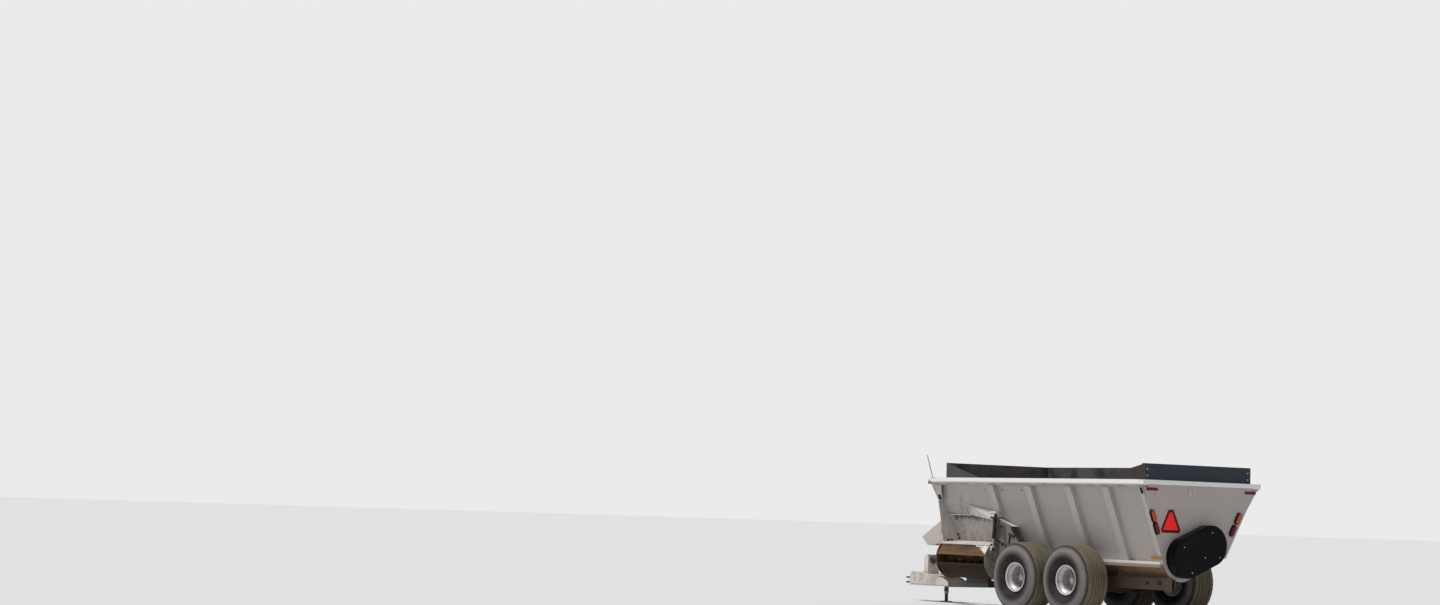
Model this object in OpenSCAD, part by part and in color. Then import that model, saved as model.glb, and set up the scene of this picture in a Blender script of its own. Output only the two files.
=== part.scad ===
// Twin-auger side-discharge manure spreader on a tandem axle, parked on its jack.
// X points to the machine's left, Y to its rear and Z up. The ground is z = 0.

/* [Tank] */
// Length of the tank over its end rails
tank_l = 5270; // [4900:1:5700]
// Width over the top rails
rail_w = 2477; // [2400:1:2600]
// Height of the top of the rails above the ground
rail_top = 2147; // [2050:1:2250]
// Height of the top rail section
rail_h = 117; // [90:1:140]
// Width of the rail's sloping underside
rail_nose = 48; // [20:1:70]
// Thickness of the tank's plates
plate = 5; // [3:1:8]
// Distance from the top of the left wall out to the rail's face
rail_out_l = 80; // [60:1:100]
// Distance from the top of the right wall out to the rail's face
rail_out_r = 116; // [90:1:140]
// Lean of the short lower right plate from upright, in degrees
right_low_lean = 60; // [55:0.5:64]
// Distance of the upper right wall from the right auger's axis
right_wall_r = 392; // [370:1:420]
// Distance that the rear plate stands in from the rear rail
end_inset = 45; // [30:1:60]
// Distance that the front plate's foot stands in from the front rail
front_inset = 248; // [200:1:280]
// Distance from the rail's top down to the bend in the rear plate
rear_bend_drop = 436; // [350:1:600]
// Distance from the rail's top down to the bend in the front plate
front_bend_drop = 1097; // [1000:1:1150]
// Width of the end plates' rim outside the tank
rim_w = 88; // [70:1:95]

/* [Troughs] */
// Sideways place of the left, lower auger
auger_l_x = 385; // [375:1:395]
// Height of the left, lower auger
auger_l_z = 975; // [965:1:985]
// Sideways place of the right, raised auger
auger_r_x = -100; // [-110:1:-90]
// Height of the right, raised auger
auger_r_z = 1170; // [1160:1:1180]
// Inner radius of both troughs
trough_r = 285; // [275:1:292]
// Outer radius of the auger flights
flight_r = 252; // [230:1:254]
// Outer radius of the auger tubes
auger_tube_r = 76; // [60:1:95]
// Pitch of the flights
flight_pitch = 440; // [380:1:520]
// Plate thickness of the flights
flight_t = 10; // [8:1:14]
// Running gap between the augers and the end plates
auger_end_gap = 12; // [6:1:20]

/* [Ribs and sills] */
// Width of a rib along the tank
rib_w = 146; // [120:1:160]
// Depth of a rib at its top
rib_top_d = 80; // [60:1:84]
// Depth of a rib at its foot
rib_foot_d = 60; // [40:1:70]
// How far the left sill's top is below the left auger
sill_drop = 70; // [60:1:85]
// Height of the sills' section
sill_h = 85; // [70:1:95]
// Outer face of the left sill, from the middle
sill_x = 820; // [790:1:830]
// Width of the corner posts along the tank
post_w = 90; // [70:1:110]

/* [Extension boards] */
// Height of the boards above the rails
board_h = 250; // [150:1:400]
// Thickness of the boards
board_t = 8; // [5:1:20]
// Distance of the side boards in from the rails' faces
board_side_inset = 133.5; // [120:0.5:150]
// Distance of the rear board in from the rear rail
board_inset = 100; // [60:1:110]
// Distance of the front board in from the front rail
board_front_inset = 283; // [240:1:320]
// Length of the rear left wing board
rear_wing_l = 1100; // [700:1:1500]
// Length of the front left wing board
front_wing_l = 900; // [600:1:1300]

/* [Discharge] */
// Sideways place of the expeller's axis
exp_x = 930; // [925:1:938]
// How far the expeller's axis is below the left auger
exp_drop = 175; // [169:1:180]
// Radius over the expeller's hammers
exp_r = 285; // [270:1:288]
// Radius of the expeller's drum
exp_drum_r = 110; // [90:1:130]
// Inner radius of the expeller's pan
pan_r = 310; // [300:1:314]
// Radius of the round edge of the housing's side plates
cheek_r = 335; // [325:1:340]
// Length of the expeller housing along the tank
housing_l = 1300; // [1240:1:1340]
// Outer edge of the housing's side plates, from the middle
cheek_x = 1100; // [1090:1:1115]
// Outer edge of the housing's floor, from the middle
floor_x = 1140; // [1135:1:1150]
// How far the floor's outer edge is above the left auger
floor_rise = 95; // [90:1:110]
// How far the top of the housing is above the left auger
hood_rise = 560; // [520:1:600]
// Length of the deflector from hinge to lip
deflector_h = 195; // [150:1:215]
// Angle of the deflector from hanging, in degrees
deflector_a = 38; // [34:1:50]

/* [Wheels] */
// Outer radius of a tyre
tyre_r = 562; // [545:1:565]
// Width of a tyre
tyre_w = 506; // [440:1:508]
// Radius of a rim over its flanges
rim_r = 236; // [220:1:245]
// Width of a rim over its flanges
rim_w_x = 392; // [360:1:410]
// Distance of the wheels' middle from the machine's middle
wheel_x = 1118; // [1116:1:1130]
// Distance between the two axles
axle_gap = 1233; // [1220:1:1300]
// Distance of the front axle behind the expeller housing
axle_back = 843; // [830:1:900]

/* [Frame and tongue] */
// Outer face of the frame rails, from the middle
frame_x = 600; // [590:1:604]
// Width of a frame rail
frame_w = 75; // [60:1:90]
// Height of a frame rail
frame_h = 180; // [150:1:190]
// Gap between the left trough and the frame rails
frame_drop = 35; // [25:1:45]
// Distance from the tank's front rail to the hitch's tip
hitch_reach = 2180; // [2100:1:2400]
// Distance from the hitch's tip to the hitch box
hitch_nose = 350; // [260:1:420]
// Length of the hitch box
hitch_box_l = 1100; // [900:1:1150]
// Width of the hitch box
hitch_box_w = 420; // [360:1:460]
// Radius of the hitch pin's hole
hitch_pin_r = 20; // [16:0.5:26]
// Height of the driveline above the ground
drive_z = 740; // [720:1:760]
// Radius of the splined input shaft
spline_r = 17.5; // [17:0.5:22]

/* [Lights and signs] */
// Width of the oval lamps
lamp_w = 70; // [60:1:76]
// Length of the oval lamps
lamp_l = 186; // [150:1:200]
// Sideways place of the slow-moving-vehicle emblem
sign_x = 617; // [560:1:640]
// Width of the emblem over its corners
sign_w = 406; // [350:1:406]
// Height of the emblem
sign_h = 356; // [310:1:356]
// Length of the long reflectors
reflector_l = 229; // [200:1:240]
// Length of the leaning marker rod
rod_l = 480; // [300:1:560]

/* [Hidden] */
$fn = 64;

// Seat gap between neighbouring solids
seat = 0.3;
// How far the rear drive cover stands out behind the rear rail
cover_out = 125;
total_l = hitch_reach + tank_l + cover_out;
tip_y = -total_l / 2;
front_y = tip_y + hitch_reach;
rear_y = front_y + tank_l;
rail_x = rail_w / 2;
rail_foot = rail_top - rail_h;
// Distance of the end plates' tops in from the end rails
edge_t = 8;
plate_front = front_y + front_inset;
plate_rear = rear_y - end_inset;
rear_bend_z = rail_top - rear_bend_drop;
front_bend_z = rail_top - front_bend_drop;
exp_front = plate_front;
exp_rear = exp_front + housing_l;
exp_z = auger_l_z - exp_drop;
sill_top = auger_l_z - sill_drop;
floor_z = auger_l_z + floor_rise;
hood_z = auger_l_z + hood_rise;
frame_top = auger_l_z - trough_r - plate - frame_drop;
front_axle_y = exp_rear + axle_back;
rear_axle_y = front_axle_y + axle_gap;
rocker_y = (rear_axle_y + front_axle_y) / 2;

// Lean of a wall that passes at distance r from an axis and ends w beside it and h above it
function lean(r, w, h) = acos(r / norm([w, h])) - atan2(h, w);
left_lean = lean(trough_r + plate, rail_x - rail_out_l - auger_l_x, rail_top - auger_l_z);
right_lean = lean(right_wall_r + plate, rail_x - rail_out_r + auger_r_x, rail_top - auger_r_z);

// Left wall: a line tangent to the left trough. r is its distance from the auger's axis.
function left_x(z, r) = auger_l_x + r / cos(left_lean) + (z - auger_l_z) * tan(left_lean);
// Right wall: upper line and lower line, each at a distance from the right auger's axis
function right_x(z, r) = auger_r_x - r / cos(right_lean) - (z - auger_r_z) * tan(right_lean);
function right_low_x(z, r) = auger_r_x - r / cos(right_low_lean)
    - (z - auger_r_z) * tan(right_low_lean);
// Height at which the two right plates meet, for an outward shift s of both
function right_bend_z(s) = auger_r_z - ((trough_r + s) / cos(right_low_lean)
    - (right_wall_r + s) / cos(right_lean)) / (tan(right_low_lean) - tan(right_lean));
// Point at which a tangent of lean a touches a circle of radius r
left_touch = [auger_l_x + trough_r * cos(left_lean), auger_l_z - trough_r * sin(left_lean)];
right_touch = [auger_r_x - trough_r * cos(right_low_lean),
    auger_r_z - trough_r * sin(right_low_lean)];
// Front face of the leaning front plate at height z
function front_at(z) = plate_front - max(0, z - front_bend_z) * (front_inset - edge_t)
    / (rail_foot - front_bend_z);

paint = [0.78, 0.79, 0.78];
steel = [0.45, 0.46, 0.47];
black = [0.06, 0.07, 0.09];

module along_y(y0, y1) {
    translate([0, y1, 0]) rotate([90, 0, 0]) linear_extrude(y1 - y0) children();
}

module along_x(x0, x1) {
    translate([x0, 0, 0]) rotate([90, 0, 90]) linear_extrude(x1 - x0) children();
}

// Strip of the left wall's line between two distances and two heights
module left_strip(r0, r1, z0, z1) {
    polygon([[left_x(z0, r0), z0], [left_x(z0, r1), z0], [left_x(z1, r1), z1], [left_x(z1, r0), z1]]);
}

module right_strip(r0, r1, z0, z1) {
    polygon([[right_x(z0, r0), z0], [right_x(z1, r0), z1], [right_x(z1, r1), z1],
        [right_x(z0, r1), z0]]);
}

// Outline of the tank's inside, grown outwards by s: two round troughs and the leaning walls.
// With k a hair under 1 the walls cut the rounds instead of only touching them.
module tank_outline(s, k = 1) {
    r = trough_r + s;
    translate([auger_l_x, auger_l_z]) circle(r);
    translate([auger_r_x, auger_r_z]) circle(r);
    zb = right_bend_z(s);
    polygon([[auger_l_x + k * r * cos(left_lean), auger_l_z - k * r * sin(left_lean)],
        [left_x(rail_foot, r), rail_foot], [right_x(rail_foot, right_wall_r + s), rail_foot],
        [right_x(zb, right_wall_r + s), zb],
        [auger_r_x - k * r * cos(right_low_lean), auger_r_z - k * r * sin(right_low_lean)],
        [auger_r_x, auger_r_z], [auger_l_x, auger_l_z]]);
}

// Keeps what lies between the two end plates, g clear of them
module between_ends(g) intersection() {
    children();
    along_x(-rail_x, rail_x) polygon([[plate_front + plate + g, 0],
        [plate_front + plate + g, front_bend_z], [front_y + edge_t + plate + g, rail_foot],
        [front_y + edge_t + plate + g, rail_top], [rear_y - edge_t - plate - g, rail_top],
        [rear_y - edge_t - plate - g, rail_foot], [plate_rear - plate - g, rear_bend_z],
        [plate_rear - plate - g, 0]]);
}

module left_wall() color(paint) difference() {
    between_ends(seat) along_y(front_y, rear_y)
        left_strip(trough_r, trough_r + plate, left_touch[1], rail_top - plate - seat);
    // Opening through which the left auger feeds the expeller
    translate([auger_l_x, exp_front + 60, 0]) cube([rail_x, housing_l - 120, floor_z + 5]);
}

module right_wall() color(paint) between_ends(seat) along_y(front_y, rear_y) {
    z0 = right_bend_z(0);
    z1 = right_bend_z(plate);
    zt = rail_top - plate - seat;
    polygon([right_touch, [right_x(z0, right_wall_r), z0], [right_x(zt, right_wall_r), zt],
        [right_x(zt, right_wall_r + plate), zt], [right_x(z1, right_wall_r + plate), z1],
        [auger_r_x - (trough_r + plate) * cos(right_low_lean),
            auger_r_z - (trough_r + plate) * sin(right_low_lean)]]);
}

// End plate with its upper part bent outwards; d is 1 at the rear and -1 at the front
module end_plate(y, y_top, bend_z, d) intersection() {
    along_x(-rail_x, rail_x)
        polygon([[y, 0], [y, bend_z], [y_top, rail_foot], [y_top, rail_top - plate],
            [y_top - d * plate, rail_top - plate], [y_top - d * plate, rail_foot],
            [y - d * plate, bend_z], [y - d * plate, 0]]);
    along_y(min(y, y_top) - 2 * plate, max(y, y_top) + 2 * plate) difference() {
        union() {
            tank_outline(rim_w, 0.998);
            polygon([[left_x(rail_foot - 1, trough_r + plate), rail_foot - 1],
                [left_x(rail_top, trough_r), rail_top], [right_x(rail_top, right_wall_r), rail_top],
                [right_x(rail_foot - 1, right_wall_r + plate), rail_foot - 1]]);
            children();
        }
        translate([auger_l_x, auger_l_z]) circle(30);
        translate([auger_r_x, auger_r_z]) circle(30);
    }
}

// Height at which the front plate's rim reaches the edge of the housing's side plate
cheek_top = auger_l_z + (cheek_x - auger_l_x - (trough_r + rim_w) / cos(left_lean)) / tan(left_lean);

module front_plate() color(paint) end_plate(plate_front, front_y + edge_t, front_bend_z, -1)
    polygon([[auger_l_x, floor_z - 20], [cheek_x, floor_z - 20], [cheek_x, cheek_top],
        [auger_l_x, cheek_top]]);

module rear_plate() color(paint) end_plate(plate_rear, rear_y - edge_t, rear_bend_z, 1);

module troughs() color(paint) difference() {
    along_y(plate_front + plate + seat, plate_rear - plate - seat) difference() {
        union() {
            translate([auger_l_x, auger_l_z]) circle(trough_r + plate);
            translate([auger_r_x, auger_r_z]) circle(trough_r + plate);
        }
        translate([auger_l_x, auger_l_z]) circle(trough_r);
        translate([auger_r_x, auger_r_z]) circle(trough_r);
        polygon([[auger_l_x, auger_l_z],
            [auger_l_x + 2 * trough_r * cos(left_lean), auger_l_z - 2 * trough_r * sin(left_lean)],
            [auger_l_x + 2 * trough_r, rail_top], [auger_r_x - 3 * trough_r, rail_top],
            [auger_r_x - 3 * trough_r * cos(right_low_lean),
                auger_r_z - 3 * trough_r * sin(right_low_lean)],
            [auger_r_x, auger_r_z]]);
    }
    // The trough is open towards the expeller
    translate([auger_l_x + 0.6 * trough_r, exp_front + 60, exp_z + 13])
        cube([trough_r, housing_l - 120, trough_r]);
}

board_x = rail_x - board_side_inset;
// Width of the rail's top plate inside the boards
board_lap = 12;
board_in = board_x - board_t - board_lap;
// Set-back of the rail's corner caps, and their lengths at the front and rear
cap_d = 6;
cap_l = [183, 90];

// Folded rail round the top, with mitred corners
module top_rail() color(paint) difference() {
    intersection() {
        along_y(front_y, rear_y) rail_face(rail_x, -rail_x);
        along_x(-rail_x, rail_x) rail_face(rear_y, front_y);
    }
    // The walls and end plates pass up inside the rail
    along_y(front_y + edge_t - seat, rear_y - edge_t + seat)
        polygon([[left_x(rail_foot - 1, trough_r + plate + seat), rail_foot - 1],
            [left_x(rail_top - plate, trough_r + plate + seat), rail_top - plate],
            [right_x(rail_top - plate, right_wall_r + plate + seat), rail_top - plate],
            [right_x(rail_foot - 1, right_wall_r + plate + seat), rail_foot - 1]]);
    // The boards stand on the rail's inner edge
    translate([-board_in, front_y + board_front_inset + board_t + board_lap, rail_foot])
        cube([2 * board_in, tank_l - board_inset - board_front_inset - 2 * (board_t + board_lap),
            rail_h + 1]);
    for (x = [-rail_x, rail_x]) {
        translate([x - cap_d, front_y - 1, rail_foot - 1]) cube([2 * cap_d, cap_l[0], rail_h]);
        translate([x - cap_d, rear_y - cap_l[1], rail_foot - 1])
            cube([2 * cap_d, cap_l[1] + 1, rail_h]);
    }
}

// Section across both rails: upright faces with sloping undersides
module rail_face(a, b) {
    polygon([[a, rail_top], [a, rail_top - rail_h / 2], [a - rail_nose, rail_foot],
        [b + rail_nose, rail_foot], [b, rail_top - rail_h / 2], [b, rail_top]]);
}

// Places of the ribs, as shares of the way from the rear rail to the expeller housing
rib_at = [0.246, 0.482, 0.745, 1];
function share_y(f) = rear_y - f * (rear_y - exp_rear);

module ribs() color(paint) for (f = rib_at) {
    z0 = f == 1 ? hood_z + 75 : sill_top + seat;
    z1 = rail_foot - seat;
    r = trough_r + plate + seat;
    along_y(share_y(f) - rib_w / 2, share_y(f) + rib_w / 2)
        polygon([[left_x(z0, r), z0], [left_x(z0, r + rib_foot_d), z0],
            [left_x(z1, r + rib_top_d), z1], [left_x(z1, r), z1]]);
    zr = right_bend_z(plate);
    rr = right_wall_r + plate + seat;
    along_y(share_y(f) - rib_w / 2, share_y(f) + rib_w / 2)
        polygon([[right_x(zr, rr), zr], [right_x(z1, rr), z1], [right_x(z1, rr + rib_top_d), z1],
            [right_x(zr, rr + rib_foot_d), zr]]);
}

// Heights of the lifting holes in the rear and front posts
hole_z = [rail_top - 169, rail_top - 329];
hole_r = 20;

// Oval lifting hole across the left side, leaning with it
module lifting_hole(y, z) translate([left_x(z, trough_r + rim_w), y, z]) rotate([0, 90 + left_lean, 0])
    translate([0, 0, -60]) linear_extrude(120) {
        translate([-22, 0]) circle(hole_r);
        translate([22, 0]) circle(hole_r);
        square([44, 2 * hole_r], center = true);
    }

// Edge flanges of the end plates, with the lifting holes
module corner_posts() color(paint) {
    r0 = trough_r + rim_w - plate;
    r1 = trough_r + rim_w;
    s0 = right_wall_r + rim_w - plate;
    s1 = right_wall_r + rim_w;
    zr = right_bend_z(plate) + seat;
    difference() {
        along_y(plate_rear - plate - seat - post_w, plate_rear - plate - seat)
            left_strip(r0, r1, sill_top + seat, rail_foot - seat);
        lifting_hole(plate_rear - plate - post_w / 2 + 4, hole_z[0]);
    }
    along_y(plate_rear - plate - seat - post_w, plate_rear - plate - seat)
        right_strip(s0, s1, zr, rail_foot - seat);
    // The front posts widen upwards with the lean of the front plate
    difference() {
        front_post_side(cheek_top - 12) left_strip(r0, r1, cheek_top - 12, rail_foot - seat);
        lifting_hole(front_at(hole_z[1]) + 50, hole_z[1]);
    }
    front_post_side(zr) right_strip(s0, s1, zr, rail_foot - seat);
}

module front_post_side(z0) intersection() {
    along_y(front_y, plate_front + post_w) children();
    along_x(-rail_x, rail_x) polygon([[front_at(z0) + plate + seat, z0],
        [front_at(rail_foot) + plate + seat, rail_foot], [plate_front + 20, rail_foot],
        [front_at(z0) + post_w, z0]]);
}

module side_sills() color(paint) {
    along_y(exp_rear + 12, plate_rear - plate - seat)
        polygon([[left_x(sill_top - sill_h, trough_r + plate + seat), sill_top - sill_h],
            [sill_x, sill_top - sill_h], [sill_x, sill_top],
            [left_x(sill_top, trough_r + plate + seat), sill_top]]);
    zb = right_bend_z(plate) - seat;
    along_y(plate_front + plate + seat, plate_rear - plate - seat)
        polygon([[right_x(zb, right_wall_r + plate + rib_foot_d), zb],
            [right_low_x(zb, trough_r + plate + seat), zb],
            [right_low_x(zb, trough_r + plate + seat), zb - 8],
            [right_low_x(zb, trough_r + plate + seat) - 40, zb - sill_h],
            [right_x(zb, right_wall_r + plate + rib_foot_d), zb - sill_h]]);
}

// Length of the end boards' folded ends along the sides
board_fold = 75;

// End board with folded ends; d is 1 at the rear and -1 at the front
module end_board(y, d) translate([0, y, rail_top + seat]) linear_extrude(board_h)
    polygon([[-board_x, 0], [board_x, 0], [board_x, -d * board_fold],
        [board_x - board_t, -d * board_fold], [board_x - board_t, -d * board_t],
        [-board_x + board_t, -d * board_t], [-board_x + board_t, -d * board_fold],
        [-board_x, -d * board_fold]]);

// Extension boards: both ends, the whole right side and a sloping wing at each left end
module boards() color(black) {
    ya = front_y + board_front_inset;
    yb = rear_y - board_inset;
    z = rail_top + seat;
    end_board(ya, -1);
    end_board(yb, 1);
    y0 = ya + board_fold + seat;
    y1 = yb - board_fold - seat;
    translate([-board_x, y0, z]) cube([board_t, y1 - y0, board_h]);
    z0 = z + board_h * (1 - board_fold / front_wing_l);
    z1 = z + board_h * (1 - board_fold / rear_wing_l);
    along_x(board_x - board_t, board_x) {
        polygon([[y0, z], [ya + front_wing_l, z], [y0, z0]]);
        polygon([[y1, z], [y1, z1], [yb - rear_wing_l, z]]);
    }
}

// Places of the saddles, as shares of the way from the rear rail to the expeller housing
saddle_at = [0.333, 0.488, 0.752, 0.98];
saddle_front_y = plate_front + 80;
saddle_y = concat([for (f = saddle_at) share_y(f)], [saddle_front_y]);
frame_front = plate_front + 95 - 140;
frame_rear = rear_y - 18;
frame_right_rear = share_y(saddle_at[0]) + 45;
// Wall of the hollow end of the left frame rail
frame_wall = 6;

module frame_rails() color(paint) {
    difference() {
        union() {
            translate([frame_x - frame_w, frame_front, frame_top - frame_h])
                cube([frame_w, frame_rear - frame_front, frame_h]);
            // Upright bar that ties the rail to the rear plate
            translate([frame_x, frame_rear - 107, frame_top - frame_h - 12])
                cube([9, 107, frame_h + 30]);
        }
        translate([frame_x - frame_w + frame_wall, frame_rear - 160, frame_top - frame_h + frame_wall])
            cube([frame_w - 2 * frame_wall, 161, frame_h - 2 * frame_wall]);
        for (d = [280, 557])
            translate([frame_x - frame_w / 2, rear_y - d, frame_top - 0.38 * frame_h])
                rotate([0, 90, 0]) cylinder(r = 38, h = frame_w + 2, center = true);
        for (y = [plate_front, plate_rear - plate])
            along_y(y - seat, y + plate + seat) tank_outline(rim_w + seat);
    }
    translate([-frame_x, frame_front, frame_top - frame_h])
        cube([frame_w, frame_right_rear - frame_front, frame_h]);
}

// Cross members between the frame rails, and the square axle tube under them
module cross_members() color(paint) {
    for (y = saddle_y) translate([-frame_x + frame_w + seat, y - 40, frame_top - 0.8 * frame_h])
        cube([2 * (frame_x - frame_w - seat), 80, 0.8 * frame_h]);
    translate([-rocker_x0 + seat, rocker_y - 55, frame_top - frame_h - seat - 110])
        cube([2 * (rocker_x0 - seat), 110, 110]);
}

// Plates that stand on the cross members and cradle both troughs
module saddles() color(paint) for (y = saddle_y) along_y(y - 6, y + 6) difference() {
    polygon([[-frame_x, frame_top + seat], [frame_x, frame_top + seat], [frame_x, exp_z - 5],
        [auger_l_x, auger_l_z], [auger_r_x, auger_r_z],
        [right_touch[0] - 20, right_touch[1] - 30], [-frame_x, frame_top + 120]]);
    translate([auger_l_x, auger_l_z]) circle(trough_r + plate + seat, $fn = 240);
    translate([auger_r_x, auger_r_z]) circle(trough_r + plate + seat, $fn = 240);
}

// Tongue beams: from under the frame rails to the hitch box
beam_h = 116;
beam_w = 95;
beam_pack_l = 600;
box_y0 = tip_y + hitch_nose;
box_y1 = box_y0 + hitch_box_l;
beam_rear = [frame_x - frame_w / 2, frame_front + 60 + beam_pack_l, frame_top - frame_h - beam_h / 2 - 22];
beam_front = [hitch_box_w / 2 - beam_w / 2, box_y1 - 30, beam_rear[2] - 54];

module tongue_beams() color(steel) for (s = [-1, 1]) {
    a = [s * beam_rear[0], beam_rear[1], beam_rear[2]];
    b = [s * beam_front[0], beam_front[1], beam_front[2]];
    v = a - b;
    difference() {
        union() {
            translate(b) rotate([0, 0, atan2(-v[0], v[1])])
                rotate([atan2(v[2], norm([v[0], v[1]])), 0, 0])
                    translate([-beam_w / 2, -120, -beam_h / 2]) cube([beam_w, norm(v) + 120, beam_h]);
            translate([a[0] - beam_w / 2, beam_rear[1] - beam_pack_l, a[2]])
                cube([beam_w, beam_pack_l - 40, frame_top - frame_h - seat - a[2]]);
        }
        translate([-hitch_box_w, tip_y, 0])
            cube([2 * hitch_box_w, box_y1 - tip_y + seat, frame_top]);
    }
}

// Side view of the hitch box: its top slopes down to the rear
box_foot = 272;
box_lid = 512;
function box_top(y) = box_lid - (y - box_y0 - 40) * 0.075;

module hitch_box() color(paint) along_x(-hitch_box_w / 2, hitch_box_w / 2)
    polygon([[box_y0, box_foot], [box_y1, box_foot + 16], [box_y1, box_foot + 50],
        [box_y1 - 30, box_foot + 105], [box_y1 - 155, box_foot + 160],
        [box_y1 - 405, box_top(box_y1 - 405)], [box_y0 + 40, box_lid], [box_y0, box_lid - 45]]);

// Drawbar with two ears that hold the hitch pin
ear_t = 28;
ear_z = [300, 385];
ear_r = 60;

module hitch_clevis() color(steel) difference() {
    union() {
        for (z = ear_z) translate([0, 0, z]) linear_extrude(ear_t) {
            translate([0, tip_y + ear_r]) circle(ear_r);
            translate([-ear_r, tip_y + ear_r]) square([2 * ear_r, hitch_nose - ear_r - seat]);
        }
        translate([-ear_r, tip_y + 190, ear_z[0]])
            cube([2 * ear_r, hitch_nose - 190 - seat, ear_z[1] - ear_z[0]]);
    }
    translate([0, tip_y + ear_r, 0]) cylinder(r = hitch_pin_r, h = 2 * ear_z[1]);
}

stand_y = box_y0 + 340;
stand_w = 240;
stand_l = 110;

module shaft_stand() color(paint) difference() {
    along_x(-stand_w / 2, stand_w / 2) polygon([
        [stand_y - stand_l / 2, box_top(stand_y - stand_l / 2) + seat],
        [stand_y + stand_l / 2, box_top(stand_y + stand_l / 2) + seat],
        [stand_y + stand_l / 2, drive_z + 60], [stand_y - stand_l / 2, drive_z + 60]]);
    translate([0, stand_y, drive_z]) rotate([90, 0, 0]) cylinder(r = 45, h = 2 * stand_l, center = true);
}

gear_y = plate_front - 330;
spline_y = stand_y - 60;

module driveline() color(black) translate([0, 0, drive_z]) {
    translate([0, gear_y - seat, 0]) rotate([90, 0, 0]) cylinder(r = 45 - seat, h = gear_y - spline_y);
    translate([0, spline_y + 5, 0]) rotate([90, 0, 0]) cylinder(r = spline_r, h = 95 + seat);
}

module gearbox() color(steel) translate([-160, gear_y, drive_z - 140])
    cube([320, plate_front - gear_y - seat, 280]);

jack_x = -hitch_box_w / 2 - 50;
jack_y = box_y0 + 450;
jack_tube_r = 38;
jack_tube_z = 150;
jack_tube_l = 650;

// Side jack with a foot, a round tube, a crank and a bracket on the hitch box
module jack() color(steel) translate([jack_x, jack_y, 0]) {
    cylinder(r = 105, h = 12);
    cylinder(r = 30, h = jack_tube_z + 100);
    translate([0, 0, jack_tube_z]) cylinder(r = jack_tube_r, h = jack_tube_l);
    translate([0, 0, jack_tube_z + jack_tube_l]) {
        cylinder(r = 12, h = 33);
        translate([-60, 0, 30]) rotate([0, 90, 0]) cylinder(r = 10, h = 200);
    }
    translate([0, -45, box_foot + 60]) cube([50 - seat, 90, 90]);
}

rocker_x0 = frame_x + 60;
rocker_t = 90;
stub_r = 40;

// Walking beam: joins the front and rear wheels of one side
module rocker() difference() {
    along_x(rocker_x0, rocker_x0 + rocker_t) polygon([[front_axle_y - 80, tyre_r - 60],
        [rocker_y - 130, tyre_r - 215], [rocker_y + 130, tyre_r - 215],
        [rear_axle_y + 80, tyre_r - 60], [rear_axle_y + 80, tyre_r + 60],
        [rear_axle_y - 60, tyre_r + 60], [rocker_y + 130, tyre_r - 40],
        [rocker_y - 130, tyre_r - 40], [front_axle_y + 60, tyre_r + 60],
        [front_axle_y - 80, tyre_r + 60]]);
    for (y = [front_axle_y, rear_axle_y])
        translate([rocker_x0 - 1, y, tyre_r]) rotate([0, 90, 0]) cylinder(r = stub_r, h = rocker_t + 2);
}

module rockers() color(paint) {
    rocker();
    mirror([1, 0, 0]) rocker();
}

module spindles() color(steel) for (s = [-1, 1]) for (y = [front_axle_y, rear_axle_y])
    translate([s * rocker_x0, y, tyre_r]) rotate([0, s * 90, 0]) {
        cylinder(r = stub_r - seat, h = 300);
        cylinder(r = 30, h = wheel_x - rocker_x0 + 20);
    }

module obround(r) {
    translate([auger_l_x, auger_l_z]) circle(r);
    translate([auger_r_x, auger_r_z]) circle(r);
    v = [auger_r_x - auger_l_x, auger_r_z - auger_l_z];
    // The band between the lobes is a hair narrower than they are, so that its edges cut them
    band = 0.998 * r;
    translate([auger_l_x, auger_l_z]) rotate(atan2(v[1], v[0])) translate([0, -band])
        square([norm(v), 2 * band]);
}

cover_r = 313;

// Cover over the chain that drives both augers, with a stepped edge
module rear_drive_cover() color(black) {
    along_y(plate_rear + seat, rear_y + cover_out - 14) obround(cover_r);
    along_y(plate_rear + 10, rear_y + cover_out - 5) obround(cover_r - 5);
    along_y(plate_rear + 10, rear_y + cover_out) obround(cover_r - 13);
}

shield_x0 = -frame_x + 50;
shield_l = 590;
shield_t = 6;
shield_top = auger_l_z + 445;

module front_drive_cover() color(paint) {
    x1 = cheek_x + 5;
    y = plate_front - seat;
    zb = max(front_bend_z, auger_l_z + 75);
    difference() {
        along_x(shield_x0, x1) polygon([[front_at(shield_top) - seat, shield_top],
            [y - shield_l, auger_l_z + 165], [y - 0.73 * shield_l, auger_l_z + 25],
            [y, auger_l_z + 65], [y, zb]]);
        along_x(shield_x0 + shield_t, x1 - shield_t)
            polygon([[front_at(shield_top - 10) + 1, shield_top - 10], [y - shield_l + 13, auger_l_z + 164],
                [y - 0.73 * shield_l + 4, auger_l_z + 33], [y + 1, auger_l_z + 73], [y + 1, zb]]);
    }
}

hinge_x = floor_x + 2;
hinge_z = floor_z - 50;
hinge_r = 12;
// Half width of the cylinder's eyes along the hinge
eye_w = 14;
cyl_y = exp_rear + 108;
cyl_top = [cheek_x + 40, hood_z];
cyl_pin = [hinge_x + 45, hinge_z - 35];

// Side plates at the front and rear of the expeller housing; children add to the outline
module cheek() difference() {
    union() {
        difference() {
            translate([exp_x, exp_z]) circle(cheek_r);
            translate([exp_x - cheek_r, floor_z - 30]) square([2 * cheek_r, cheek_r]);
        }
        translate([hinge_x, hinge_z]) circle(21);
        polygon([[frame_x - 60, exp_z - 60], [exp_x + 200, exp_z - 60], [hinge_x + 15, hinge_z + 14],
            [cheek_x, floor_z - 22], [frame_x - 60, floor_z - 22]]);
        children();
    }
    tank_outline(plate + seat);
    translate([exp_x, exp_z]) circle(35);
    translate([hinge_x, hinge_z]) circle(hinge_r + 0.5);
    square([frame_x + 3, frame_top + 250]);
}

cheek_t = 8;

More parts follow.
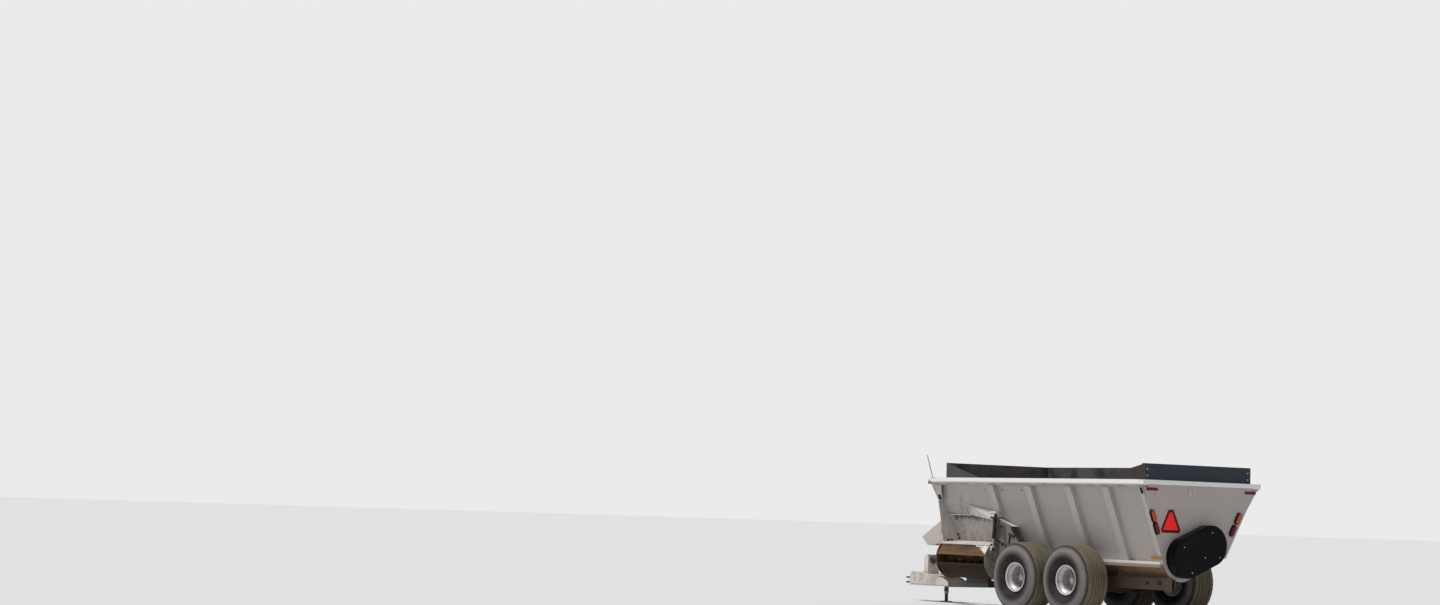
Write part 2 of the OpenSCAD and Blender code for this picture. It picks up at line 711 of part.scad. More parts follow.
module housing_cheeks() color(paint) {
    along_y(exp_front + plate + 1, exp_front + plate + 1 + cheek_t) cheek();
    along_y(exp_rear - cheek_t, exp_rear) cheek()
        polygon([[frame_x, floor_z - 60], [cheek_x, floor_z - 60], [cheek_x, cyl_top[1] - 70],
            [cyl_top[0] + 26, cyl_top[1] - 40], [cyl_top[0] + 26, cyl_top[1] + 70],
            [cyl_top[0] - 60, cyl_top[1] + 70], [left_x(hood_z + 30, trough_r), hood_z + 30]]);
    // Lug and cap that hold the top of the cylinder
    along_y(exp_rear - cheek_t, cyl_y - eye_w - seat) translate(cyl_top) circle(26);
    along_y(exp_rear - cheek_t, cyl_y + 25)
        translate([cyl_top[0] - 40, cyl_top[1] + 36]) square([66, 34]);
}

inside_y0 = exp_front + plate + 1 + cheek_t + seat;
inside_y1 = exp_rear - cheek_t - seat;

module housing_pan() color(paint) along_y(inside_y0, inside_y1) difference() {
    union() {
        difference() {
            translate([exp_x, exp_z]) circle(pan_r + plate);
            translate([exp_x, exp_z]) circle(pan_r);
            translate([exp_x, exp_z]) polygon([[0, 0], [2 * pan_r, -0.5 * pan_r],
                [2 * pan_r, 2 * pan_r], [-2 * pan_r, 2 * pan_r], [-2 * pan_r, 0]]);
        }
        // Square bar along the pan's outer lip
        translate([exp_x, exp_z]) rotate(-14.5) translate([pan_r - 1, -22]) square([24, 34]);
    }
    tank_outline(plate + seat);
    square([frame_x + 3, frame_top + 250]);
}

// Height of the hood's ridge above the housing's top lip
ridge_h = 177;
gusset_y = exp_front + 0.4 * housing_l;

// Lip, gusset and sloping roof on the left wall over the expeller housing
module hood() color(paint) {
    r = trough_r + plate + seat;
    x0 = left_x(hood_z, r);
    along_y(front_at(hood_z) + plate + 3, gusset_y + 1)
        polygon([[x0, hood_z], [x0 + 32, hood_z], [x0 + 32, hood_z - 10], [x0 + 38, hood_z - 10],
            [x0 + 38, hood_z + 6], [left_x(hood_z + 6, r), hood_z + 6]]);
    along_y(gusset_y, gusset_y + 6)
        polygon([[left_x(hood_z + ridge_h, r), hood_z + ridge_h], [x0, hood_z], [x0 + 50, hood_z],
            [left_x(hood_z + ridge_h, r) + 9, hood_z + ridge_h]]);
    ax = left_x(hood_z + ridge_h, r) + 4;
    bx = left_x(hood_z + 45, r) + 4;
    y0 = gusset_y + 5;
    roof = [[ax, y0, hood_z + ridge_h], [bx, inside_y1, hood_z + 45],
        [cheek_x, inside_y1, hood_z - 73], [x0 + 44, y0, hood_z + 5]];
    polyhedron(concat(roof, [for (p = roof) p - [6, 0, 6]]), [[0, 1, 2], [0, 2, 3], [4, 6, 5],
        [4, 7, 6], [0, 4, 5, 1], [1, 5, 6, 2], [2, 6, 7, 3], [3, 7, 4, 0]]);
}

// Floor of the recess over the expeller, with a folded outer edge and the hinge's bracket
module discharge_floor() color(paint) {
    r = trough_r + plate + seat;
    along_y(plate_front + plate + seat, inside_y1)
        polygon([[left_x(floor_z + 30, r), floor_z + 30], [floor_x, floor_z + 4], [floor_x, floor_z - 28],
            [floor_x - 6, floor_z - 28], [floor_x - 6, floor_z - 2],
            [left_x(floor_z + 24, r), floor_z + 24]]);
    along_y(exp_rear - 330, inside_y1)
        polygon([[floor_x - 1, floor_z + 3], [floor_x - 1, floor_z - 28], [floor_x + 5, floor_z - 28],
            [floor_x + 5, floor_z + 20], [floor_x - 1, floor_z + 20]]);
}

guard_x = 985;
guard_t = 6;
guard_top = auger_l_z + 515;
guard_low = auger_l_z + 390;
guard_l = 360;
guard_tip = [exp_rear + guard_l + 200, auger_l_z + 165];

// Plate between the expeller housing and the front tyre, round beside the tyre, with a sloping top
module wheel_guard() color(paint) {
    along_x(guard_x - guard_t, guard_x) difference() {
        polygon([[exp_rear + seat, guard_top], [exp_rear + guard_l, guard_low], guard_tip,
            [guard_tip[0], tyre_r], [exp_rear + seat, tyre_r - 80]]);
        translate([front_axle_y, tyre_r]) circle(tyre_r + 70);
    }
    r = trough_r + plate + seat;
    intersection() {
        along_x(frame_x, guard_x - guard_t + 1) polygon([[exp_rear + seat, guard_top],
            [exp_rear + guard_l, guard_low], [exp_rear + guard_l, guard_low - 5],
            [exp_rear + seat, guard_top - 5]]);
        along_y(exp_rear, exp_rear + 2 * guard_l)
            polygon([[left_x(auger_l_z, r), auger_l_z], [guard_x, auger_l_z], [guard_x, hood_z],
                [left_x(hood_z, r), hood_z]]);
    }
}

// Rubber strip bolted along the guard's slanted rear edge
module guard_rubber() color(black) along_x(guard_x + seat, guard_x + seat + 10)
    polygon([[exp_rear + guard_l - 28, guard_low + 8], [exp_rear + guard_l + 12, guard_low - 2],
        [guard_tip[0] + 18, guard_tip[1] - 6], [guard_tip[0] - 40, guard_tip[1] - 14],
        [exp_rear + guard_l - 20, guard_low - 50]]);

// Round tube along a route of points, as rings of n sides
module hose(p, r, n) {
    m = len(p);
    function way(i) = p[min(i + 1, m - 1)] - p[max(i - 1, 0)];
    ring = [for (i = [0:m - 1]) let (t = way(i) / norm(way(i)), a = cross(t, [1, 0, 0.2]),
        u = a / norm(a), v = cross(t, u)) for (k = [0:n - 1])
            p[i] + r * (cos(360 * k / n) * u + sin(360 * k / n) * v)];
    polyhedron(ring, concat([[for (k = [0:n - 1]) k]],
        [[for (k = [n - 1:-1:0]) (m - 1) * n + k]],
        [for (i = [0:m - 2]) for (k = [0:n - 1])
            [i * n + k, (i + 1) * n + k, (i + 1) * n + (k + 1) % n, i * n + (k + 1) % n]]));
}

hose_r = 11;

// Hydraulic hoses: one from the foot of the cylinder's barrel, one in a bow on the guard
module hoses() color(black) {
    x = guard_x + hose_r + seat;
    y = exp_rear;
    z = auger_l_z;
    hose([[cyl_top[0] + 25, cyl_y + 48, z + 165], [cyl_top[0], y + 190, z + 138],
        [x + 60, y + 215, z + 105], [x + 12, y + 245, z + 70], [x, y + 262, z + 30],
        [x, y + 268, z - 20]], hose_r, 8);
    hose([[x, y + 300, z + 20], [x, y + 292, z + 100], [x, y + 294, z + 180], [x, y + 308, z + 222],
        [x, y + 332, z + 246], [x, y + 356, z + 252], [x, y + 380, z + 244]], hose_r, 8);
}

// Oval lamps in pairs that lean with the tank's sides
module lamp(x, z, a) translate([x, plate_rear + seat, z]) rotate([-90, 0, 0]) rotate(a)
    linear_extrude(28) {
        for (e = [-1, 1]) translate([0, e * (lamp_l - lamp_w) / 2]) circle(lamp_w / 2);
        square([lamp_w, lamp_l - lamp_w], center = true);
    }

// Heights of the amber and red lamps, and how far they are outside the left wall's line
lamp_z = [rail_top - 547, rail_top - 735];
lamp_in = 50;

// Amber lamps, and the long amber reflector at the left rear corner
module lamps_amber() color("orange") {
    lamp(left_x(lamp_z[0], trough_r + lamp_in), lamp_z[0], left_lean);
    lamp(right_x(lamp_z[0], right_wall_r - 14), lamp_z[0], -right_lean);
    along_y(rear_y - 282, plate_rear - 4)
        left_strip(trough_r + rim_w + seat, trough_r + rim_w + 5, sill_top + 35, sill_top + 86);
}

module lamps_red() color("red") {
    lamp(left_x(lamp_z[1], trough_r + lamp_in), lamp_z[1], left_lean);
    lamp(right_x(lamp_z[1], right_wall_r - 14), lamp_z[1], -right_lean);
}

// The emblem's top stays this far below the bend in the rear plate
sign_gap = 5;
sign_z = rear_bend_z - sign_h - sign_gap;

module slow_sign() color("orangered") translate([sign_x, 0, sign_z])
    along_y(plate_rear + seat, plate_rear + 4) {
        c = sign_w / 2;
        polygon([[-c, 30], [-c + 23, 0], [c - 23, 0], [c, 30], [35, sign_h - 11], [15, sign_h],
            [-15, sign_h], [-35, sign_h - 11]]);
    }

// Place and bracket length of the marker rod
rod_x = cheek_x + 35;
bracket_l = 122;

// Red reflectors: two on the rear plate and a small round one on the marker's bracket
module reflectors() color("darkred") {
    for (x = [rail_x - 196, 224 - rail_x])
        translate([x - reflector_l / 2, rear_y - edge_t + seat, rail_foot - 46])
            cube([reflector_l, 5, 45]);
    translate([rod_x - 15 + bracket_l + seat, front_y - 18, rail_foot + 30]) rotate([0, 90, 0])
        cylinder(r = 15, h = 5);
}

// Leaning marker rod on a bracket at the front left corner
module marker_rod() color(paint) translate([rod_x, front_y - seat, 0]) {
    translate([-15, -36, rail_foot + 6]) cube([bracket_l, 36, 74]);
    translate([0, -16, rail_foot + 30]) rotate([6, 14, 0]) cylinder(r = 9, h = rod_l);
}

auger_y0 = plate_front + plate + auger_end_gap;
auger_y1 = plate_rear - plate - auger_end_gap;

module auger_tube() {
    translate([0, auger_y1, 0]) rotate([90, 0, 0]) cylinder(r = auger_tube_r, h = auger_y1 - auger_y0);
    translate([0, plate_rear, 0]) rotate([90, 0, 0]) cylinder(r = 29, h = plate_rear - plate_front);
}

// Helical flight: a thin sector twisted along the tube; d is 1 or -1 for its hand
module flight(d) {
    turns = (auger_y1 - auger_y0 - 40) / flight_pitch;
    a = flight_t / flight_pitch * 360;
    translate([0, auger_y1 - 20, 0]) rotate([90, 0, 0])
        linear_extrude(auger_y1 - auger_y0 - 40, twist = d * 360 * turns, slices = round(turns * 20),
            segments = 1, $fn = 4)
            polygon([[auger_tube_r + 1, 0], [flight_r, 0], [flight_r * cos(a), flight_r * sin(a)],
                [(auger_tube_r + 1) * cos(a), (auger_tube_r + 1) * sin(a)]]);
}

module auger_left() color(steel) translate([auger_l_x, 0, auger_l_z]) auger_tube();

module flight_left() color(steel) translate([auger_l_x, 0, auger_l_z]) flight(1);

module auger_right() color(steel) translate([auger_r_x, 0, auger_r_z]) auger_tube();

module flight_right() color(steel) translate([auger_r_x, 0, auger_r_z]) flight(1);

// Drum with rows of hammers, each held between two lugs
rotor_y0 = inside_y0 + 12;
rotor_y1 = inside_y1 - 12;
hammer_rows = 4;
hammer_count = 6;
hammer_l = 96;

module expeller() color(steel) translate([exp_x, 0, exp_z]) {
    translate([0, rotor_y1, 0]) rotate([90, 0, 0]) cylinder(r = exp_drum_r, h = rotor_y1 - rotor_y0);
    translate([0, exp_rear + 30, 0]) rotate([90, 0, 0]) cylinder(r = 34, h = housing_l - plate + 28);
    pitch = (rotor_y1 - rotor_y0 - 120) / (hammer_count - 0.5);
    for (row = [0:hammer_rows - 1]) for (k = [0:hammer_count - 1])
        translate([0, rotor_y0 + 60 + (k + (row % 2) * 0.5) * pitch, 0])
            rotate([0, row * 360 / hammer_rows + 20, 0]) {
                for (y = [-26, 14]) translate([exp_drum_r - 20, y, -32]) cube([74, 12, 64]);
                translate([exp_drum_r + 10, -15, -26]) cube([exp_r - exp_drum_r - 20, 30, 52]);
                translate([exp_r - 36, -hammer_l / 2, -26]) cube([30, hammer_l, 52]);
            }
}

module deflector() color(paint) translate([hinge_x, 0, hinge_z]) {
    // Flap with a stiffer plate at its rear end
    along_y(inside_y0 + 12, inside_y1 - 12) rotate(deflector_a)
        translate([-4, -deflector_h]) square([8, deflector_h - 6]);
    along_y(exp_rear - 330, inside_y1 - 12) rotate(deflector_a)
        polygon([[3, -12], [3, -150], [11, -150], [11, -12]]);
    along_y(exp_front - 150, cyl_y - eye_w - seat) circle(hinge_r);
    // Arm that the cylinder pushes
    along_y(cyl_y - eye_w - seat - 14, cyl_y - eye_w - seat) {
        circle(24);
        polygon([[-20, 10], [18, 16], [70, -16], [70, -54], [40, -64], [4, -40]]);
    }
}

barrel_l = 340;
rod_r = 13;

module cylinder_barrel() color(black) {
    v = cyl_pin - cyl_top;
    translate([cyl_top[0], cyl_y + eye_w, cyl_top[1]]) rotate([90, 0, 0])
        cylinder(r = 22, h = 2 * eye_w);
    translate([cyl_top[0], cyl_y, cyl_top[1]]) rotate([0, atan2(v[0], v[1]), 0]) {
        cylinder(r = rod_r, h = 60);
        difference() {
            translate([0, 0, 40]) cylinder(r = 30, h = barrel_l);
            translate([0, 0, barrel_l - 120]) cylinder(r = rod_r + 0.5, h = 200);
        }
    }
}

module cylinder_rod() color("silver") {
    v = cyl_pin - cyl_top;
    translate([cyl_top[0], cyl_y, cyl_top[1]]) rotate([0, atan2(v[0], v[1]), 0])
        translate([0, 0, barrel_l - 60]) cylinder(r = rod_r, h = norm(v) - barrel_l + 45);
    translate([cyl_pin[0], cyl_y + eye_w, cyl_pin[1]]) rotate([90, 0, 0])
        cylinder(r = 20, h = 2 * eye_w);
}

// Tyre section: bead, bulging wall, square shoulder and ribbed tread, from the middle out
function tyre_side() = let (w = tyre_w / 2, t = 0.75 * tyre_w / 2) [
    [tyre_r - 20, 6], [tyre_r, 10], [tyre_r - 2, 0.45 * w - 12], [tyre_r - 22, 0.45 * w - 8],
    [tyre_r - 22, 0.45 * w + 8], [tyre_r - 4, 0.45 * w + 12], [tyre_r - 12, t], [tyre_r - 45, t + 24],
    [tyre_r - 92, w - 12], [tyre_r - 162, w], [tyre_r - 232, w - 18],
    [rim_r + 14, rim_w_x / 2 - 20], [rim_r - 12, rim_w_x / 2 - 22], [rim_r - 12, rim_w_x / 2 - 50],
    [rim_r + 10, rim_w_x / 2 - 50], [tyre_r - 262, w - 60], [tyre_r - 162, w - 30],
    [tyre_r - 60, 0.6 * w]];

module tyre_at(x, y) color("dimgray") translate([x, y, tyre_r]) rotate([0, 90, 0])
    rotate_extrude($fn = 64)
        polygon(concat(tyre_side(), [for (i = [len(tyre_side()) - 1:-1:0])
            [tyre_side()[i][0], -tyre_side()[i][1]]]));

// Rim with a deep outer dish, disc, hub and cap; s is 1 on the left and -1 on the right
module rim_at(s, y) color("silver") translate([s * wheel_x, y, tyre_r]) rotate([0, s * 90, 0])
    rotate_extrude($fn = 64) {
        h = rim_w_x / 2;
        polygon([[rim_r, h], [rim_r, h - 14], [rim_r - 14, h - 19], [rim_r - 12 - seat, h - 50],
            [rim_r - 50, h - 90], [rim_r - 50, -h + 90], [rim_r - 12 - seat, -h + 50],
            [rim_r - 14, -h + 19], [rim_r, -h + 14], [rim_r, -h], [rim_r - 22, -h + 8],
            [rim_r - 24, -h + 46], [rim_r - 60, -h + 86], [rim_r - 60, -40], [150, -30], [110, -42],
            [86, -42], [86, -90], [31, -90], [31, 20 + seat], [0, 20 + seat], [0, 74], [46, 74],
            [52, 60], [52, 20], [86, 10], [86, -30], [110, -30], [150, -18], [rim_r - 60, -28],
            [rim_r - 60, h - 86], [rim_r - 24, h - 46], [rim_r - 22, h - 8], [rim_r - 8, h]]);
    }

module tyre_front_left() tyre_at(wheel_x, front_axle_y);

module tyre_rear_left() tyre_at(wheel_x, rear_axle_y);

module tyre_front_right() tyre_at(-wheel_x, front_axle_y);

module tyre_rear_right() tyre_at(-wheel_x, rear_axle_y);

module rim_front_left() rim_at(1, front_axle_y);

module rim_rear_left() rim_at(1, rear_axle_y);

module rim_front_right() rim_at(-1, front_axle_y);

module rim_rear_right() rim_at(-1, rear_axle_y);

left_wall();
right_wall();
front_plate();
rear_plate();
troughs();
top_rail();
ribs();
corner_posts();
side_sills();
boards();
frame_rails();
cross_members();
saddles();
tongue_beams();
hitch_box();
hitch_clevis();
shaft_stand();
driveline();
gearbox();
jack();
rockers();
spindles();
rear_drive_cover();
front_drive_cover();
housing_cheeks();
housing_pan();
hood();
discharge_floor();
wheel_guard();
guard_rubber();
hoses();
lamps_amber();
lamps_red();
slow_sign();
reflectors();
marker_rod();
auger_left();
flight_left();
auger_right();
flight_right();
expeller();
deflector();
cylinder_barrel();
cylinder_rod();
tyre_front_left();
tyre_rear_left();
tyre_front_right();
tyre_rear_right();
rim_front_left();
rim_rear_left();
rim_front_right();
rim_rear_right();
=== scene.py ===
import bmesh
import bpy
import math
import numpy as np
from mathutils import Matrix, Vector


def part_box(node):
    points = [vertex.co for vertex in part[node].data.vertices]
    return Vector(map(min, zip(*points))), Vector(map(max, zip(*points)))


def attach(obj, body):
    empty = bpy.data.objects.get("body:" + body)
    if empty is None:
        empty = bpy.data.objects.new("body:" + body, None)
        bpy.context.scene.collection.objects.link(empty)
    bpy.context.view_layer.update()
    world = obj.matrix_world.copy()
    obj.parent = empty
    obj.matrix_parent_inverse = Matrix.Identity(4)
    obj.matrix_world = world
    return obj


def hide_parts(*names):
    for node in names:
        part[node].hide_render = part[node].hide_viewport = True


# Twin-auger side-discharge manure spreader on a tandem axle, parked on its jack.
# X points to the machine's left, Y to its rear and Z up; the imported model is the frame.
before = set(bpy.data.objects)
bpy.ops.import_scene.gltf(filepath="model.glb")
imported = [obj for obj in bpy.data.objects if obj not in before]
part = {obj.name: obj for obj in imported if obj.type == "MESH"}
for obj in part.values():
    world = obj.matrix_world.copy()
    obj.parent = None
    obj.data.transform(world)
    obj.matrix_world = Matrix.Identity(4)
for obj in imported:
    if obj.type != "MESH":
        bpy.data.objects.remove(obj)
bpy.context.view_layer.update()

# Viewpoint: a long lens from the left rear corner, a little above the hubs.
# Its place and turns were fitted to the photograph, in a frame of 1440 by 605.
lens_mm = 61.943
sensor_mm = 36
far_clip = 500
eye_place = (27.011, 31.810, 1.4656)
eye_turns = ((147.312, "Z"), (94.809, "X"), (1.8146, "Z"))
eye_matrix = Matrix.Translation(eye_place)
for degrees, axis in eye_turns:
    eye_matrix = eye_matrix @ Matrix.Rotation(math.radians(degrees), 4, axis)
eye = bpy.data.objects.new("eye", bpy.data.cameras.new("eye"))
bpy.context.collection.objects.link(eye)
eye.data.sensor_width = sensor_mm
eye.data.lens = lens_mm
eye.data.clip_end = far_clip
eye.matrix_world = eye_matrix
bpy.context.scene.camera = eye
bpy.context.scene.view_settings.view_transform = "Standard"


# Studio: a wide pale floor, an even pale sky and one broad soft lamp high on the left.
# The sky shows its own pale colour to the camera, and lights the rest at a plain level.
def feed(tree, node, values):
    """Gives a node's inputs, by name or number, their values: plain ones are set, sockets are joined."""
    for name, value in values.items():
        if isinstance(value, bpy.types.NodeSocket):
            tree.links.new(value, node.inputs[name])
        else:
            node.inputs[name].default_value = value


def fresh(tree, kind, values, **settings):
    """A new shader node of one kind, with its settings made and its inputs fed."""
    node = tree.nodes.new("ShaderNode" + kind)
    for name, value in settings.items():
        setattr(node, name, value)
    feed(tree, node, values)
    return node


def new_finish(name):
    """A node material: returns the material, its node tree, its main shader and its Object coordinate."""
    finish = bpy.data.materials.new(name)
    finish.use_nodes = True
    tree = finish.node_tree
    return finish, tree, tree.nodes["Principled BSDF"], fresh(tree, "TexCoord", {}).outputs["Object"]


floor_reach = 400
floor_corners = [(x * floor_reach, y * floor_reach, 0) for x, y in ((-1, -1), (1, -1), (1, 1), (-1, 1))]
floor_mesh = bpy.data.meshes.new("studio_floor")
floor_mesh.from_pydata(floor_corners, [], [(0, 1, 2, 3)])
studio_floor = bpy.data.objects.new("studio_floor", floor_mesh)
bpy.context.collection.objects.link(studio_floor)
floor_finish, floor_tree, floor_shader, _ = new_finish("studio_floor")
feed(floor_tree, floor_shader,
    {"Base Color": (0.70, 0.70, 0.70, 1), "Roughness": 0.95, "Specular IOR Level": 0.1})
floor_mesh.materials.append(floor_finish)

sky = bpy.data.worlds.new("studio_sky")
bpy.context.scene.world = sky
sky.use_nodes = True
sky_tree = sky.node_tree
sky_light = sky_tree.nodes["Background"]
feed(sky_tree, sky_light, {"Color": (0.80, 0.81, 0.83, 1), "Strength": 0.50})
sky_seen = fresh(sky_tree, "Background", {"Color": (0.83, 0.83, 0.83, 1)})
ray = fresh(sky_tree, "LightPath", {})
seen = fresh(sky_tree, "Math", {0: ray.outputs["Is Camera Ray"], 1: ray.outputs["Is Transmission Ray"]},
    operation="MAXIMUM")
sky_mix = fresh(sky_tree, "MixShader",
    {0: seen.outputs[0], 1: sky_light.outputs[0], 2: sky_seen.outputs[0]})
feed(sky_tree, sky_tree.nodes["World Output"], {"Surface": sky_mix.outputs[0]})

lamp_data = bpy.data.lights.new("soft_lamp", "SUN")
lamp_data.energy = 2.5
lamp_data.angle = math.radians(9)
soft_lamp = bpy.data.objects.new("soft_lamp", lamp_data)
soft_lamp.rotation_euler = (math.radians(11.5), math.radians(27.3), 0)
bpy.context.collection.objects.link(soft_lamp)


# Tank's walls: two leaning sheets of steel, welded to the ribs and sprayed light grey, here given a darker
# grey than the rails' as painted shade of their undercut sides. Field dust lies on the paint in clouds and
# runs, and mud has dried on it in specks, thick by the expeller. Inside, manure leaves a brown film, and
# below the hood it has splashed the left wall, with painted shade under the hood's lip and the hood's painted
# shadow at the rear.
def grain(tree, place, size, detail=4.0, rough=0.55, stretch=(1, 1, 1)):
    """Noise whose grains are about size metres across, drawn out by stretch along each axis."""
    scale = fresh(tree, "Mapping", {"Vector": place, "Scale": [1 / (size * s) for s in stretch]})
    noise = fresh(tree, "TexNoise",
        {"Vector": scale.outputs[0], "Scale": 1.0, "Detail": detail, "Roughness": rough})
    return noise.outputs["Fac"]


def ramped(tree, value, low, high, top=1.0):
    """0 below low and top above high, with a smooth step between; low may be the larger."""
    first, last = (0.0, top) if low < high else (top, 0.0)
    step = fresh(tree, "MapRange", {"Value": value, "From Min": min(low, high), "From Max": max(low, high),
        "To Min": first, "To Max": last}, interpolation_type="SMOOTHSTEP")
    return step.outputs["Result"]


def maths(tree, operation, *values):
    """One operation on one or two values or sockets."""
    return fresh(tree, "Math", dict(enumerate(values)), operation=operation).outputs[0]


def chained(tree, operation, values):
    """Several values or sockets joined from the left by one operation."""
    result = values[0]
    for value in values[1:]:
        result = maths(tree, operation, result, value)
    return result


def times(tree, *values):
    """The product of several values or sockets."""
    return chained(tree, "MULTIPLY", values)


def plus(tree, *values):
    """The sum of several values or sockets."""
    return chained(tree, "ADD", values)


def most(tree, *values):
    """The largest of several values or sockets."""
    return chained(tree, "MAXIMUM", values)


def tinted(tree, share, under, over):
    """Colour under, covered by colour over where share is 1; each is a socket or three numbers."""
    under, over = ((*colour, 1) if isinstance(colour, tuple) else colour for colour in (under, over))
    return fresh(tree, "Mix", {0: share, 6: under, 7: over}, data_type="RGBA").outputs[2]


def raised(tree, shader, height, metres):
    """Bump from a height of 0 to 1 that stands for so many metres."""
    bump = fresh(tree, "Bump", {"Height": height, "Strength": 1.0, "Distance": metres})
    feed(tree, shader, {"Normal": bump.outputs[0]})


def xyz(tree, vector):
    """The three parts of a vector socket."""
    return fresh(tree, "SeparateXYZ", {0: vector}).outputs


def along(tree, vector, direction, start=0.0):
    """How far a point lies along a direction, less start, in metres."""
    dot = fresh(tree, "VectorMath", {0: vector, 1: direction}, operation="DOT_PRODUCT")
    return maths(tree, "SUBTRACT", dot.outputs["Value"], start)


def looking(tree, direction, low=0.2, high=0.35):
    """1 where a surface looks along a direction: the ramp of its normal's part along it."""
    side = fresh(tree, "TexCoord", {}).outputs["Normal"]
    return ramped(tree, along(tree, side, direction), low, high)


def near(tree, place, middle, reach, core=0.0):
    """1 within core metres of a middle point, and 0 from reach metres on."""
    away = fresh(tree, "VectorMath", {0: place, 1: middle}, operation="DISTANCE")
    return ramped(tree, away.outputs["Value"], reach, core)


to_left, to_rear, upward = (1, 0, 0), (0, 1, 0), (0, 0, 1)
to_right, to_front, downward = (-1, 0, 0), (0, -1, 0), (0, 0, -1)
dust_tan = (0.36, 0.30, 0.235)
mud_brown = (0.040, 0.025, 0.014)
smear_brown = (0.18, 0.12, 0.07)
manure_brown = (0.085, 0.044, 0.014)
scoured_grey = (0.17, 0.15, 0.13)
# Browns of the splash under the hood, which also paint the shade under its lip and the hood's shadow
splash_shade_dark, splash_shade_darker = (0.085, 0.048, 0.024), (0.028, 0.017, 0.010)
# The walls' grey, darker than the rails': painted shade of the walls' undercut sides
wall_grey_shaded = (0.455, 0.418, 0.400)
# Where mud flies: middle, reach and core round the expeller, at the rail's front corner, by the hitch
splashed_places = (((1.15, -0.95, 1.05), 1.15, 0.45), ((1.20, -1.62, 2.12), 0.42, 0.08),
    ((0.25, -3.0, 0.60), 0.9, 0.3))
# Heights between which the film inside the tank fades out, and the underside of the hood
film_top, film_full = 2.10, 1.6
hood_under = 1.54
# Y of the expeller housing's rear and front ends
housing_rear, housing_front = -0.055, -1.37
# Heights of the splash's ragged hem, and the Y and heights of the hood's painted shadow, which darkens it at
# the rear
hem_heights = (1.20, 1.31)
hood_shadow_span, hood_shadow_heights = (-0.40, -0.12), (1.32, 1.46)
# Heights between which low dust thickens towards the ground
low_dust_heights = (1.3, 0.35)


def painted(name, colour, extra=None, soil=1.0):
    """Paint under dust in clouds and runs that thickens towards the ground, specks of mud and brown
    smears, all in proportion to soil. Extra, if given, returns a share of the surface and the colour
    that covers it there."""
    finish, tree, shader, place = new_finish(name)
    cloud = ramped(tree, grain(tree, place, 0.9, 5), 0.35, 0.75, top=0.20 * soil)
    runs = ramped(tree, grain(tree, place, 0.05, 3, 0.6, (1, 1, 16)), 0.5, 0.8, top=0.14 * soil)
    low_dust = ramped(tree, xyz(tree, place)[2], *low_dust_heights, top=0.22 * soil)
    dust = plus(tree, cloud, runs, low_dust)
    skin = tinted(tree, dust, colour, dust_tan)
    thick = most(tree, *(near(tree, place, *spot) for spot in splashed_places))
    speck = plus(tree, grain(tree, place, 0.019, 3, 0.5), times(tree, thick, 0.122))
    spots = ramped(tree, speck, 0.738, 0.765, top=min(0.9, 0.85 * soil))
    skin = tinted(tree, spots, skin, mud_brown)
    smear = plus(tree, grain(tree, place, 0.16, 6, 0.62, (1, 1, 1.6)), times(tree, thick, 0.12))
    smear = ramped(tree, smear, 0.62, 0.76, top=min(0.7, 0.40 * soil))
    skin = tinted(tree, smear, skin, smear_brown)
    rough = plus(tree, 0.45, times(tree, most(tree, spots, dust), 0.4))
    peel = grain(tree, place, 0.006, 2)
    if extra is not None:
        share, cover = extra(tree, place)
        skin = tinted(tree, share, skin, cover)
        rough = plus(tree, rough, times(tree, share, 0.3))
        peel = plus(tree, peel, times(tree, grain(tree, place, 0.05, 6), share, 6.0))
    feed(tree, shader, {"Base Color": skin, "Roughness": rough, "Specular IOR Level": 0.35})
    raised(tree, shader, peel, 0.0006)
    return finish


def wear(finish, *names):
    """Gives CAD nodes a finish, in every material slot that they have."""
    for name in names:
        for slot in part[name].material_slots:
            slot.material = finish


def film(tree, place):
    """Manure film of the tank's inside: brown, scoured to grey steel in patches."""
    patch = ramped(tree, grain(tree, place, 0.16, 8, 0.68), 0.34, 0.62)
    return tinted(tree, patch, scoured_grey, manure_brown)


def inner_share(tree, height, direction):
    """The share of a wall that the film covers: its inner side, which looks along direction, up to where
    the film fades out."""
    return times(tree, looking(tree, direction), ramped(tree, height, film_top, film_full, top=0.95))


def left_wall_soil(tree, place):
    """The left wall's inside film, and the brown splash outside: it hangs from the hood in a ragged
    hem with painted shade under the hood's lip, darkest at the rear where the hood's painted shadow lies,
    over patches that lie lower on the wall."""
    _, y, z = xyz(tree, place)
    inner = inner_share(tree, z, to_right)
    streaks = grain(tree, place, 0.03, 5, 0.7, (1, 1, 14))
    hem = maths(tree, "SUBTRACT", z, times(tree, streaks, 0.42))
    under_hood = ramped(tree, z, hood_under, hood_under - 0.01)
    splash = times(tree, ramped(tree, hem, *hem_heights, top=0.9), under_hood)
    # Painted shadow of the hood, which darkens the splash at its rear
    dark = times(tree, ramped(tree, y, *hood_shadow_span), ramped(tree, z, *hood_shadow_heights), under_hood)
    ahead = ramped(tree, y, housing_rear, housing_rear - 0.015)
    behind = ramped(tree, y, housing_front, housing_front + 0.02)
    lip = times(tree, most(tree, splash, dark), ahead, behind)
    patches = ramped(tree, grain(tree, place, 0.05, 6, 0.7), 0.58, 0.74, top=0.4)
    patches = times(tree, patches, ramped(tree, z, hood_under, hood_under - 0.04), ahead)
    outer = times(tree, most(tree, lip, patches), looking(tree, to_left))
    streaked = tinted(tree, ramped(tree, streaks, 0.4, 0.6), splash_shade_dark, splash_shade_darker)
    return most(tree, inner, outer), tinted(tree, looking(tree, to_right), streaked, film(tree, place))


def right_wall_soil(tree, place):
    """The right wall's inside film."""
    return inner_share(tree, xyz(tree, place)[2], to_left), film(tree, place)


wear(painted("wall_paint_left", wall_grey_shaded, left_wall_soil), "left_wall")
wear(painted("wall_paint_right", wall_grey_shaded, right_wall_soil), "right_wall")

